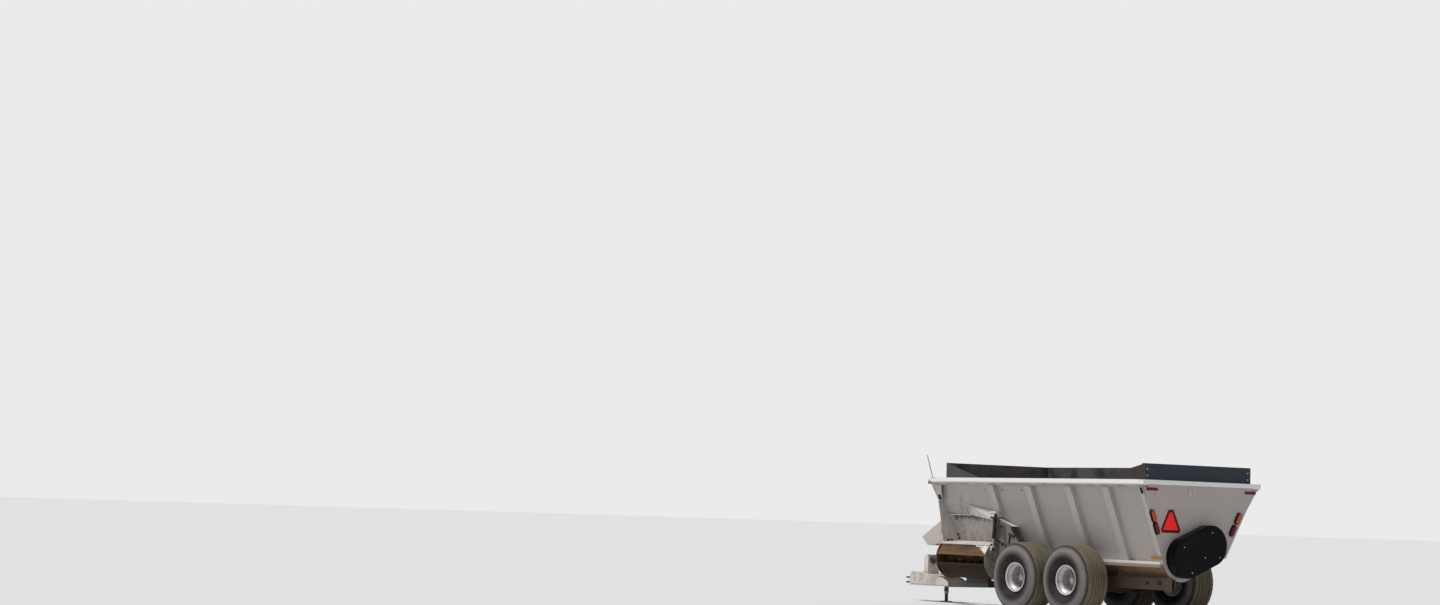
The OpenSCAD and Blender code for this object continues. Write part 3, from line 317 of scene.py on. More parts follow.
# End plates: one sheet at each end, bent outwards below the rail and welded to walls and troughs.
# They are sprayed light grey, and a brown film covers their inner sides between the walls.
wall_planes = (((0.930, 0, -0.366), 0.286), ((-0.866, 0, -0.5), -0.106))


def between_walls(direction):
    """The part of an end plate's inner side that lies between the tank's two leaning walls, each given
    by its outward direction and how far it is from the origin that way."""
    def cover(tree, place):
        left, right = (ramped(tree, along(tree, place, out, reach), 0.002, -0.002)
            for out, reach in wall_planes)
        return times(tree, looking(tree, direction), left, right), film(tree, place)
    return cover


wear(painted("plate_paint_front", (0.56, 0.52, 0.49), between_walls(to_rear)), "front_plate")
wear(painted("plate_paint_rear", (0.43, 0.390, 0.375), between_walls(to_front)), "rear_plate")

# Troughs: two half rounds rolled from sheet, one under each auger, welded together and to the walls.
# A brown film covers them inside, and underneath they are tan: field dust, and painted light thrown up from
# the ground.
tan_dark, tan_light = (0.095, 0.052, 0.026), (0.215, 0.125, 0.066)


def underside_dust_and_bounce(tree, place):
    """Tan on the undersides, field dust and painted light thrown up from the ground: light and dark patches
    on all that looks down or sideways.
    """
    patch = ramped(tree, grain(tree, place, 0.25, 5), 0.25, 0.6)
    share = times(tree, looking(tree, downward, -0.15, 0.35), 0.92)
    return share, tinted(tree, patch, tan_dark, tan_light)


def trough_soil(tree, place):
    """Troughs: manure film inside; tan under, dust and painted ground light."""
    share, tan = underside_dust_and_bounce(tree, place)
    top = looking(tree, upward)
    return most(tree, share, top), tinted(tree, top, tan, film(tree, place))


wear(painted("trough_paint", (0.30, 0.25, 0.20), trough_soil), "troughs")

# Top rails: folded box sections with a sloping underside, welded round the mouth of the tank.
# Their paint is left light grey, and painted shade of the sloping underside lies only on their lowest edge,
# tan and in patches.
rail_edge = 2.078


def rail_edge_shade(tree, place):
    """Painted shade, tan and in patches, on the rails' lowest edge, which leaves the rest bright."""
    patch = ramped(tree, grain(tree, place, 0.30, 5, 0.6, (1, 1, 0.3)), 0.3, 0.7, top=0.3)
    low = ramped(tree, xyz(tree, place)[2], rail_edge, rail_edge - 0.014)
    return times(tree, low, plus(tree, patch, 0.6)), (0.25, 0.205, 0.16)


wear(painted("rail_paint", (0.83, 0.82, 0.81), rail_edge_shade, soil=0.25), "top_rail")

# Sills, ribs and corner posts: box sections and folded channels, welded along and up the walls.
# They have the tank's paint, and so does the marker rod; tan painted shade lies on the sills' lower half.
sill_middle = 0.876


def sill_lower_shade(tree, place):
    """Tan painted shade on the lower part of the sills' sides and under them."""
    low = ramped(tree, xyz(tree, place)[2], sill_middle, sill_middle - 0.016, top=0.9)
    return most(tree, low, looking(tree, downward, 0.2, 0.5)), (0.23, 0.165, 0.11)


wear(painted("sill_paint", (0.64, 0.625, 0.61), sill_lower_shade, soil=0.7), "side_sills")
wear(painted("rib_paint", (0.47, 0.44, 0.42)), "ribs", "corner_posts")
wear(painted("rod_paint", (0.55, 0.53, 0.52)), "marker_rod")

# Frame: box-section rails with cross members, saddles under the troughs, and the walking beams.
# It is welded steel, coloured a dark brown that stands for dirty paint and painted shade under the tank, with
# tan from below that is dust from the wheels and painted ground light.
wear(painted("frame_dirt_and_shade", (0.058, 0.042, 0.031), underside_dust_and_bounce, soil=0.4),
    "frame_rails", "cross_members", "saddles", "rockers")

# Hitch box, shaft stand and front drive cover: folded and welded plate in light paint.
# The box's sloping tail lies under the shaft, where soil settles on it.
tail_y, tail_out = (-2.80, -2.60), (0, 0.4, 0.92)
soil_brown = (0.045, 0.032, 0.024)


def tail_soil(tree, place):
    """Soil that lies on the hitch box's sloping tail, below the shaft."""
    tail = ramped(tree, xyz(tree, place)[1], *tail_y, top=0.95)
    return times(tree, looking(tree, tail_out, 0.80, 0.95), tail), soil_brown


wear(painted("hitch_paint", (0.70, 0.67, 0.64), tail_soil, soil=0.9), "hitch_box")
wear(painted("stand_paint", (0.80, 0.73, 0.66), soil=0.9), "shaft_stand")
wear(painted("shield_paint", (0.50, 0.46, 0.42), soil=1.3), "front_drive_cover")


# Discharge unit: the expeller's pan and floor with the hinged deflector, of painted plate.
# Dried manure covers them with a thick brown film, dimmed on the pan as painted shade under the housing, and
# only the deflector's rear end stays clean.
film_browns = ((0.170, 0.072, 0.012), (0.062, 0.028, 0.008))
film_speck = (0.030, 0.018, 0.009)


def soiled(name, colour, lean, clean_from, thin=0.0, film_shade=1.0):
    """Paint under a brown film that ends in a ragged line, where y plus lean times z is clean_from.
    Thin opens holes in the film, and film_shade dims its colours, as painted shade."""
    finish, tree, shader, place = new_finish(name)
    lumps = grain(tree, place, 0.10, 8, 0.66, (1, 2.4, 1))
    specks = grain(tree, place, 0.018, 3)
    _, y, z = xyz(tree, place)
    edge = plus(tree, y, times(tree, z, lean), times(tree, lumps, 0.55))
    soil = ramped(tree, edge, clean_from + 0.33, clean_from + 0.22)
    soil = times(tree, soil, ramped(tree, lumps, thin - 0.05, thin + 0.08, top=0.96))
    light, deep = (tuple(c * film_shade for c in film_colour) for film_colour in film_browns)
    brown = tinted(tree, ramped(tree, grain(tree, place, 0.28, 4, 0.6, (1, 3, 1)), 0.40, 0.64), light, deep)
    brown = tinted(tree, ramped(tree, specks, 0.42, 0.66, top=0.8), brown, film_speck)
    base = tinted(tree, ramped(tree, grain(tree, place, 0.3, 4), 0.4, 0.7, top=0.25), colour, dust_tan)
    base = tinted(tree, ramped(tree, specks, 0.66, 0.69, top=0.85), base, mud_brown)
    feed(tree, shader, {"Base Color": tinted(tree, soil, base, brown),
        "Roughness": plus(tree, 0.45, times(tree, soil, 0.4)), "Specular IOR Level": 0.18})
    raised(tree, shader, times(tree, plus(tree, lumps, specks), soil), 0.006)
    return finish


flap_film = soiled("flap_paint", (0.74, 0.72, 0.70), 2.77, 2.468)
wear(flap_film, "deflector")
wear(soiled("pan_paint_shaded", (0.20, 0.17, 0.15), 0.0, 0.6, film_shade=0.22), "housing_pan")
wear(soiled("floor_paint", (0.66, 0.63, 0.60), 0.0, -1.75, 0.2), "discharge_floor")

# Housing's side plates, wheel guard and hood: flat plates in light paint, welded to the left wall.
# The side plates' grey is darkened as painted shade, and the guard's face is dark grey, partly painted
# shade under the hood and cylinder. Manure is plastered on the sides' inner faces; the bracket above
# them stays pale, and the guard's top has a painted highlight.
plaster_brown = (0.15, 0.085, 0.035)
bracket_foot = 1.505
# The front side plate lies ahead of the first of these, and the rear one behind the second
front_side_y, rear_side_y = (-0.8, -0.9), (-0.5, -0.4)
bracket_pale, guard_top_lit = (0.62, 0.62, 0.62), (0.56, 0.55, 0.54)


def rotor_side(tree, place):
    """Manure plastered on the housing's inner sides, which look at each other, and in patches."""
    y = xyz(tree, place)[1]
    inner = most(tree, times(tree, looking(tree, to_rear), ramped(tree, y, *front_side_y)),
        times(tree, looking(tree, to_front), ramped(tree, y, *rear_side_y)))
    patch = ramped(tree, grain(tree, place, 0.09, 6, 0.65), 0.48, 0.62, top=0.6)
    lumps = ramped(tree, grain(tree, place, 0.05, 5), 0.4, 0.6)
    return most(tree, inner, patch), tinted(tree, lumps, manure_brown, plaster_brown)


def bracket_grey(tree, place):
    """The housing's plaster of manure, with the cylinder's bracket above it in light grey."""
    share, brown = rotor_side(tree, place)
    top = ramped(tree, xyz(tree, place)[2], bracket_foot, bracket_foot + 0.01)
    return most(tree, share, top), tinted(tree, top, brown, bracket_pale)


def lit_top_face(tree, place):
    """The guard's top plate, given a pale grey as a painted highlight of the light from above."""
    return looking(tree, upward, 0.6, 0.8), guard_top_lit


wear(painted("cheek_paint_shaded", (0.29, 0.26, 0.24), bracket_grey, soil=1.4), "housing_cheeks")
wear(painted("guard_paint_shaded", (0.185, 0.158, 0.146), lit_top_face, soil=1.2), "wheel_guard")
wear(painted("hood_paint", (0.50, 0.49, 0.49), soil=0.8), "hood")


# Augers and expeller: bare steel, flights wound and welded on their tubes, hammers hung on a drum.
# The steel is scoured to grey in patches and has a brown film on the rest.
def worn_steel(name, colour, film_colour, share, rough=0.5):
    """Scratched steel with a film over a share of it, in patches of noise."""
    finish, tree, shader, place = new_finish(name)
    patches = grain(tree, place, 0.09, 7, 0.65)
    scratches = grain(tree, place, 0.012, 3, 0.6, (1, 9, 1))
    skin = ramped(tree, patches, 0.62 - share * 0.3, 0.70 - share * 0.25)
    bare = tinted(tree, ramped(tree, scratches, 0.3, 0.7, top=0.4), colour, (0.12, 0.10, 0.085))
    feed(tree, shader, {"Base Color": tinted(tree, skin, bare, film_colour),
        "Metallic": times(tree, maths(tree, "SUBTRACT", 1.0, skin), 0.8),
        "Roughness": plus(tree, rough, times(tree, skin, 0.35))})
    raised(tree, shader, plus(tree, scratches, times(tree, skin, patches)), 0.0012)
    return finish


wear(worn_steel("auger_steel", (0.38, 0.36, 0.34), manure_brown, 0.75),
    "auger_left", "auger_right", "flight_left", "flight_right")
wear(worn_steel("hammer_steel", (0.30, 0.28, 0.26), (0.05, 0.03, 0.014), 0.9), "expeller")

# Tongue, clevis, jack and spindles: welded and forged steel, bolted under the hitch box and the beams.
# They are sprayed nearly black.
wear(painted("dark_paint", (0.020, 0.018, 0.018), soil=0.3),
    "tongue_beams", "hitch_clevis", "jack", "spindles")


# Rear drive cover and boards: a moulded glossy black cover over the chain, and slate-painted boards.
# Both are bolted on. The side boards are dusty outside, lighter where they look left as painted sunlight, and
# splashes lie on the boards' inner faces.
def black_finish(name, colour, gloss, dust=0.3, dust_colour=(0.15, 0.135, 0.12), ripple=0.0004,
        specular=0.3, extra=None):
    """Dark paint, plastic or rubber with a cloud of dust on it. Extra is as in painted."""
    finish, tree, shader, place = new_finish(name)
    fine = grain(tree, place, 0.01, 3)
    share = times(tree, ramped(tree, grain(tree, place, 0.45, 6, 0.6), 0.38, 0.80), dust)
    specks = ramped(tree, fine, 0.70, 0.74, top=0.5 * dust)
    tone = tinted(tree, most(tree, share, specks), colour, dust_colour)
    if extra is not None:
        part_share, cover = extra(tree, place)
        tone = tinted(tree, part_share, tone, cover)
    feed(tree, shader, {"Base Color": tone, "Roughness": plus(tree, gloss, times(tree, share, 0.6)),
        "Specular IOR Level": specular})
    raised(tree, shader, fine, ripple)
    return finish


# Tones of the left boards' outer faces, dust and painted sunlight, at the front and the rear
board_dust_lit_front, board_dust_lit_rear = (0.078, 0.071, 0.069), (0.042, 0.030, 0.023)
board_splash = (0.130, 0.112, 0.103)
# Where the left, right and front boards begin, and where the outer dust and painted sunlight thin out
left_board_x, right_board_x = (1.0, 1.05), (-0.9, -1.0)
front_board_y, outer_tone_thins_y = (-1.0, -1.2), (1.0, 2.0)


def board_sides(tree, place):
    """The left boards' outer faces carry dust and painted sunlight, less to the rear; inner faces carry
    splashes.
    """
    x, y, _ = xyz(tree, place)
    patches = ramped(tree, grain(tree, place, 0.3, 5), 0.3, 0.7, top=0.35)
    # Dust and painted sunlight on the left boards' left-facing outer faces
    dusty = times(tree, looking(tree, to_left, 0.6, 0.8), ramped(tree, x, *left_board_x),
        plus(tree, patches, 0.55))
    splash = ramped(tree, grain(tree, place, 0.35, 6, 0.6), 0.30, 0.60, top=0.85)
    inner = most(tree, times(tree, looking(tree, to_rear, 0.6, 0.8), ramped(tree, y, *front_board_y)),
        times(tree, looking(tree, to_left, 0.6, 0.8), ramped(tree, x, *right_board_x)))
    outer_tone = tinted(tree, ramped(tree, y, *outer_tone_thins_y), board_dust_lit_front, board_dust_lit_rear)
    return most(tree, dusty, times(tree, splash, inner)), tinted(tree, inner, outer_tone, board_splash)


wear(black_finish("cover_black", (0.0022, 0.0024, 0.0034), 0.30, 0.02, specular=0.09), "rear_drive_cover")
wear(black_finish("board_slate", (0.021, 0.028, 0.044), 0.45, 0.20, (0.09, 0.09, 0.10), extra=board_sides),
    "boards")

# Guard's rubber, hoses and shaft guard: black rubber and plastic, clamped along their edges or ends.
# The cylinder's barrel is steel tube in black paint, pinned to its bracket.
wear(black_finish("guard_black", (0.006, 0.006, 0.007), 0.55, 0.3), "guard_rubber", "hoses", "driveline")
wear(black_finish("cylinder_black", (0.008, 0.008, 0.009), 0.32, 0.25), "cylinder_barrel")

# Rod of the deflector's cylinder: a ground and hard-chromed bar, pinned to the flap by its eye.
# It is wiped clean by the gland, apart from an oily smear of dust.
chrome_tone, wipe_tone = (0.72, 0.73, 0.74), (0.20, 0.16, 0.12)
rod_finish, rod_tree, rod_shader, rod_place = new_finish("rod_chrome")
rod_wipe = grain(rod_tree, rod_place, 0.03, 4, 0.6, (1, 1, 4))
rod_tone = tinted(rod_tree, ramped(rod_tree, rod_wipe, 0.45, 0.75, top=0.4), chrome_tone, wipe_tone)
feed(rod_tree, rod_shader, {"Base Color": rod_tone, "Metallic": 1.0,
    "Roughness": ramped(rod_tree, rod_wipe, 0.3, 0.8, top=0.4)})
wear(rod_finish, "cylinder_rod")


# Lamps and reflectors: oval lenses in black rubber rings, in pairs that lean with the tank's walls.
# The lenses are moulded with fine prisms under a domed face, and the rings are pressed on them.
waves_per_metre = 3.2  # of the wave texture at a scale of 1
low_lamp_heights = (1.25, 1.15)


def lens(name, colour, prism, dust=0.12, painted_glow=0.0, low=None):
    """Coloured clear plastic with prisms about so many metres apart: the product of waves along X and Z.
    Low, if given, is its colour below 1.2 m, and painted_glow a painted glow of its colour."""
    finish, tree, shader, place = new_finish(name)
    waves = [fresh(tree, "TexWave", {"Scale": 1 / prism / waves_per_metre, "Vector": place},
        bands_direction=side).outputs["Fac"] for side in ("X", "Z")]
    relief = times(tree, *waves)
    tone = tinted(tree, relief, tuple(c * 0.5 for c in colour), colour)
    if low is not None:
        tone = tinted(tree, ramped(tree, xyz(tree, place)[2], *low_lamp_heights), tone, low)
    tone = tinted(tree, ramped(tree, grain(tree, place, 0.05, 4), 0.5, 0.8, top=dust), tone, dust_tan)
    feed(tree, shader, {"Base Color": tone, "Roughness": 0.22, "Specular IOR Level": 0.25})
    # A painted glow: the part is no lamp
    if painted_glow:
        feed(tree, shader, {"Emission Color": (*colour, 1), "Emission Strength": painted_glow})
    raised(tree, shader, relief, 0.0008)
    return finish


def tube_faces(rings, points, closed=False):
    """Faces of a stack of rings of so many points, as arrays of corner numbers: quads that join each ring
    to the next, and the first and last ring as caps unless the stack is closed to a ring."""
    i = np.arange(rings if closed else rings - 1)[:, None]
    j = np.arange(points)[None, :]
    next_i, next_j = (i + 1) % rings, (j + 1) % points
    corners = [i * points + j, i * points + next_j, next_i * points + next_j, next_i * points + j]
    quads = np.stack(corners, axis=-1).reshape(-1, 4)
    caps = np.arange(points) + np.array([[0], [(rings - 1) * points]])
    return [quads] if closed else [quads, caps]


def surface(name, shapes, finish, body, sharp=35):
    """A piece from a list of shapes, each its points and its arrays of faces. It is smooth up to an angle,
    and its faces are turned outwards."""
    points, faces = [], []
    for shape_points, face_arrays in shapes:
        start = len(points)
        points += shape_points.tolist()
        for corners in face_arrays:
            faces += (corners + start).tolist()
    mesh = bpy.data.meshes.new(name)
    mesh.from_pydata(points, [], faces)
    grown = bmesh.new()
    grown.from_mesh(mesh)
    bmesh.ops.recalc_face_normals(grown, faces=grown.faces)
    grown.to_mesh(mesh)
    grown.free()
    mesh.shade_smooth()
    mesh.set_sharp_from_angle(angle=math.radians(sharp))
    mesh.materials.append(finish)
    piece = bpy.data.objects.new(name, mesh)
    bpy.context.collection.objects.link(piece)
    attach(piece, body)
    return piece


def unit(direction):
    """A direction as an array of length 1."""
    return np.asarray(direction, float) / np.linalg.norm(direction)


def drawn_in(outline, inset):
    """A closed outline of (u, v) points with every side moved in by inset, corners mitred: each corner
    goes along the middle of its two sides' inward directions."""
    outline = np.asarray(outline, float)
    before = outline - np.roll(outline, 1, axis=0)
    after = np.roll(outline, -1, axis=0) - outline
    turn = np.sign(np.sum(before[:, 0] * after[:, 1] - before[:, 1] * after[:, 0]))

    def inward(side):
        """Unit direction from each side to the inside."""
        return np.stack([-side[:, 1], side[:, 0]], axis=-1) / np.linalg.norm(side, axis=1)[:, None] * turn

    middle = inward(before) + inward(after)
    middle /= np.linalg.norm(middle, axis=1)[:, None]
    share = np.sum(middle * inward(after), axis=1)[:, None]
    return outline + middle * np.asarray(inset).reshape(-1, 1) / share


def shaped(outline, section, origin, u, v, closed=False):
    """An outline in the plane of u and v carried through a section of (inset, height) steps along their
    cross product. It is closed to a ring, or capped at both ends."""
    u, v = unit(u), unit(v)
    rings = []
    for inset, height in section:
        ring = drawn_in(outline, inset)
        rings.append(np.asarray(origin) + ring[:, :1] * u + ring[:, 1:] * v + np.cross(u, v) * height)
    return np.concatenate(rings), tube_faces(len(section), len(outline), closed)


def on_rear(outline, section, x, z, closed=False):
    """An outline at x and z that looks to the rear, carried through a section of (inset, y) steps."""
    return shaped(outline, [(inset, -y) for inset, y in section], (x, 0, z), to_left, upward, closed)


def round_steps(steps):
    """Angles of so many even steps round a turn, from half a step on."""
    return np.linspace(0, 2 * math.pi, steps, endpoint=False) + math.pi / steps


def oval(half_width, half_length, lean, steps=40):
    """A circle whose upper and lower halves are moved apart to half_length, leaning by an angle."""
    t = round_steps(steps)
    a = half_width * np.cos(t)
    b = half_width * np.sin(t) + np.sign(np.sin(t)) * (half_length - half_width)
    return np.stack([a * math.cos(lean) + b * math.sin(lean), b * math.cos(lean) - a * math.sin(lean)],
        axis=-1)


# Each wall's lean, its side, and the place of the auger's axis that it is measured from
wall_lines = {"left": (math.radians(21.508), 1, 0.385, 0.975),
    "right": (math.radians(30.0), -1, -0.100, 1.170)}


def wall_x(side, z, r):
    """X of a leaning wall at height z, r outside its auger's axis: the axis, and outwards r over the
    lean's cosine plus the height over the axis times the lean's tangent."""
    lean, sign, axis_x, axis_z = wall_lines[side]
    return axis_x + sign * (r / math.cos(lean) + (z - axis_z) * math.tan(lean))


amber_lens = lens("amber_lens", (0.92, 0.135, 0.004), 0.008, 0.05, low=(0.40, 0.20, 0.035))
red_lens = lens("red_lens", (0.30, 0.003, 0.008), 0.008, 0.04)
wear(amber_lens, "lamps_amber")
wear(red_lens, "lamps_red")
wear(lens("reflector_red", (0.25, 0.003, 0.008), 0.005, 0.05), "reflectors")
grommet_black = black_finish("grommet_black", (0.004, 0.004, 0.004), 0.6, 0.08, specular=0.15)
lamp_half_width, lamp_half_length = 0.035, 0.093
lamp_heights = {"amber": 1.600, "red": 1.412}
lamp_reaches = {"left": 0.335, "right": 0.378}
# Y of the lamps' foot on the rear plate and of their lenses' front
lamp_seat, lamp_front = 3.6178, 3.6458
# The rings are widest at the lamps' sides. Sections are (inset, y)
ring_out = 0.006 + 0.004 * np.abs(np.cos(round_steps(40)))
ring_section = [(0.004, lamp_front + 0.0005), (0.004, lamp_front + 0.003), (-0.001, lamp_front + 0.0045),
    (-0.4 * ring_out, lamp_front + 0.003), (-0.9 * ring_out, lamp_front - 0.004),
    (-ring_out, lamp_seat + 0.006), (-ring_out - 0.002, lamp_seat), (-0.0005, lamp_seat),
    (-0.0005, lamp_front - 0.001)]
dome_section = [(0.0045, lamp_front), (0.0045, lamp_front + 0.002), (0.008, lamp_front + 0.005),
    (0.015, lamp_front + 0.0075), (0.024, lamp_front + 0.009), (0.033, lamp_front + 0.0095)]
domes = {"amber": [], "red": []}
rubber_rings = []
for side, reach in lamp_reaches.items():
    lean, sign = wall_lines[side][:2]
    outline = oval(lamp_half_width, lamp_half_length, sign * lean)
    for colour, z in lamp_heights.items():
        x = wall_x(side, z, reach)
        rubber_rings.append(on_rear(outline, ring_section, x, z, True))
        domes[colour].append(on_rear(outline, dome_section, x, z))
surface("lamp_grommets", rubber_rings, grommet_black, "chassis")
surface("lamp_domes_amber", domes["amber"], amber_lens, "chassis", 60)
surface("lamp_domes_red", domes["red"], red_lens, "chassis", 60)

# Slow-moving-vehicle emblem: a fluorescent triangle with cut corners and a dark reflecting border.
# It is sheet metal with foil on it, screwed to the rear plate, and stands in the CAD plate's place; its face
# has a painted glow.
sign_low, sign_high = (np.array(c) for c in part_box("slow_sign"))
sign_x = (sign_low[0] + sign_high[0]) / 2
sign_y, sign_z = sign_low[1], sign_low[2]
sign_outline = [(-0.203, 0.048), (-0.176, 0.0), (0.176, 0.0), (0.203, 0.048), (0.064, 0.326),
    (0.045, 0.356), (-0.045, 0.356), (-0.064, 0.326)]
border_width = 0.042
face_section = [(0.002, sign_y), (0.0, sign_y + 0.0008), (0.0, sign_y + 0.0024), (0.0008, sign_y + 0.0032)]
border_section = [(0.0015, sign_y + 0.0031), (0.0015, sign_y + 0.0042), (border_width, sign_y + 0.0042),
    (border_width + 0.0005, sign_y + 0.0031)]
emblem = surface("emblem_face", [on_rear(sign_outline, face_section, sign_x, sign_z)],
    lens("emblem_orange_glowing", (0.95, 0.010, 0.012), 0.004, 0.0, 0.34), "chassis", 30)
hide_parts("slow_sign")
surface("emblem_border", [on_rear(sign_outline, border_section, sign_x, sign_z, True)],
    lens("emblem_red", (0.075, 0.001, 0.006), 0.003, 0.0), "chassis", 30)


# Tyres: wide ribbed implement tyres of moulded rubber, pressed on their rims by the air in them.
# Each is one surface that stands in the CAD tyre's place: a half section with rounded ribs, mirrored
# and carried round the axle. They are grey with dust and a painted sheen on the bulge, and tan with soil on
# the tread, darker in the grooves partly as painted shade.
def turned(profile, middle, axis, steps=32, closed=False, notch=None):
    """A profile of (radius, distance along the axis) points carried round an axis, less the notch's
    depth at each angle. It is closed to a ring, or capped at both ends."""
    profile = np.asarray(profile, float)
    n = unit(axis)
    u = unit(np.cross(n, (0.0, 0.0, 1.0) if abs(n[2]) < 0.9 else (1.0, 0.0, 0.0)))
    v = np.cross(n, u)
    angle = np.linspace(0, 2 * math.pi, steps, endpoint=False)[None, :]
    radius = np.repeat(profile[:, :1], steps, axis=1)
    if notch is not None:
        radius = radius - notch(angle, profile[:, 1:], profile[:, :1])
    points = (np.asarray(middle, float) + profile[:, 1][:, None, None] * n
        + radius[:, :, None] * (np.cos(angle)[:, :, None] * u + np.sin(angle)[:, :, None] * v))
    return points.reshape(-1, 3), tube_faces(len(profile), steps, closed)


tyre_low, tyre_high = (np.array(c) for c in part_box("tyre_front_left"))
tyre_half = (tyre_high[0] - tyre_low[0]) / 2
tyre_radius = (tyre_high[2] - tyre_low[2]) / 2
rim_low, rim_high = (np.array(c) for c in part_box("rim_front_left"))
rim_radius = (rim_high[2] - rim_low[2]) / 2
# Distances of the ribs' two edges from the tread's middle; their edges are rounded over edge_round
rib_edges = ((0.007, 0.045), (0.060, 0.100), (0.116, 0.186))
edge_round = 0.004
groove_depth, groove_draft = 0.020, 0.003
crown_drop, crown_half = 0.012, 0.19
# Shoulder, wall with raised rings, and bulge: distance below the crown, distance from the middle
outer_wall = ((0.020, 0.196), (0.045, 0.213), (0.050, 0.217), (0.056, 0.216), (0.092, 0.2395),
    (0.120, 0.247), (0.124, 0.250), (0.130, 0.2485), (0.162, tyre_half), (0.200, 0.2465), (0.232, 0.235),
    (0.262, 0.216), (0.268, 0.2165), (0.276, 0.207))
# Bead on the rim: distance above the rim's edge, distance from the middle
bead_seat = ((0.030, 0.187), (0.014, 0.176), (-0.010, 0.174), (-0.010, 0.150), (0.010, 0.146))
# Inside of the wall and tread, measured as the outer wall is
inner_wall = ((0.262, 0.193), (0.162, 0.223), (0.060, 0.152), (0.050, 0.0))


def crown(x):
    """Radius of the tread at x from its middle: it drops with the square of x."""
    return tyre_radius - crown_drop * (x / crown_half) ** 2


def tyre_section():
    """The whole section as one loop of (radius, x): ribs with grooves between them, shoulder, wall and
    bead, from the tread's middle out and back inside, then mirrored."""
    half = []
    for start, end in rib_edges:
        middle = (start + end) / 2
        half += [(crown(start) - groove_depth, start - groove_draft), (crown(start) - edge_round, start),
            (crown(start + edge_round), start + edge_round), (crown(middle), middle),
            (crown(end - edge_round), end - edge_round), (crown(end) - edge_round, end),
            (crown(end) - groove_depth, end + groove_draft)]
    # The outermost rib has no groove beyond it
    half.pop()
    half += [(tyre_radius - drop, x) for drop, x in outer_wall]
    half += [(rim_radius + rise, x) for rise, x in bead_seat]
    half += [(tyre_radius - drop, x) for drop, x in inner_wall]
    return half + [(r, -x) for r, x in reversed(half) if x > 0]


notch_count = 40
notch_depth = 0.010
# Distances from the middle between which the notches lie
notch_zone = (0.155, 0.212)
# How far below the tread's top they reach
notch_reach = 0.05


def shoulder_notches(angle, offset, radius):
    """Short cuts across the shoulder ribs, half as deep as the grooves: a clipped cosine of the angle,
    shifted between the two shoulders."""
    cut = np.clip(1.6 * np.cos(angle * notch_count + np.sign(offset) * 1.2) - 0.9, 0, 1)
    zone = (np.abs(offset) > notch_zone[0]) & (np.abs(offset) < notch_zone[1])
    return notch_depth * cut * (zone & (radius > tyre_radius - notch_reach))


def from_axle(tree, place, axle):
    """Distance of a point from an axle that runs along X: the root of the sum of two squares."""
    _, y, z = xyz(tree, place)
    up = maths(tree, "SUBTRACT", z, float(axle[2]))
    back = maths(tree, "SUBTRACT", y, float(axle[1]))
    return maths(tree, "SQRT", plus(tree, times(tree, up, up), times(tree, back, back)))


rubber_dark, rubber_dust_sheen = (0.014, 0.011, 0.010), (0.190, 0.176, 0.174)
rubber_cloud, rubber_ring = (0.10, 0.088, 0.078), (0.03, 0.028, 0.027)
soil_light, soil_dark = (0.215, 0.180, 0.122), (0.110, 0.092, 0.066)
soil_crumb, groove_soil_shade = (0.25, 0.215, 0.15), (0.050, 0.042, 0.032)
# Radii over which the bulge's dust and painted sheen begin and end, and the angle of its faint rings' wave in
# a metre
bulge_foot, bulge_top = (0.33, 0.46), (0.54, 0.50)
ring_wave = 260.0


def tyre_rubber(name, axle):
    """Grey rubber: dark round the rim, dust and a painted sheen on the bulge with faint rings, tan with soil
    in streaks round the tread, and darker soil in the grooves that is partly painted shade."""
    finish, tree, shader, place = new_finish(name)
    radius = from_axle(tree, place, axle)
    cloud = grain(tree, place, 0.16, 6, 0.6)
    fine = grain(tree, place, 0.006, 3)
    bulge = times(tree, ramped(tree, radius, *bulge_foot), ramped(tree, radius, *bulge_top))
    tone = tinted(tree, bulge, rubber_dark, rubber_dust_sheen)
    tone = tinted(tree, ramped(tree, cloud, 0.40, 0.75, top=0.35), tone, rubber_cloud)
    ring = maths(tree, "SINE", times(tree, radius, ring_wave))
    tone = tinted(tree, ramped(tree, ring, 0.4, 1.0, top=0.14), tone, rubber_ring)
    tread = ramped(tree, radius, tyre_radius - 0.085, tyre_radius - 0.025)
    streaks = grain(tree, place, 0.010, 4, 0.6, (1, 26, 26))
    soil = tinted(tree, ramped(tree, streaks, 0.30, 0.72), soil_light, soil_dark)
    soil = tinted(tree, ramped(tree, fine, 0.5, 0.8, top=0.3), soil, soil_crumb)
    # Darker soil in the grooves, partly painted shade in them
    soil = tinted(tree, ramped(tree, radius, tyre_radius - 0.014, tyre_radius - 0.026), soil, groove_soil_shade)
    feed(tree, shader, {"Base Color": tinted(tree, times(tree, tread, 0.92), tone, soil),
        "Roughness": ramped(tree, tread, -1.9, 1.0, top=0.92), "Specular IOR Level": 0.22})
    raised(tree, shader, plus(tree, fine, times(tree, tread, streaks)), 0.0015)
    return finish


wheels = [(end, side) for side in ("left", "right") for end in ("front", "rear")]
for end, side in wheels:
    low, high = (np.array(c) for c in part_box(f"tyre_{end}_{side}"))
    axle = (low + high) / 2
    tyre = surface(f"tread_{end}_{side}",
        [turned(tyre_section(), axle, to_left, 160, True, shoulder_notches)],
        tyre_rubber(f"rubber_{end}_{side}", axle), f"{end}_{side}_wheel")
    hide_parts(f"tyre_{end}_{side}")


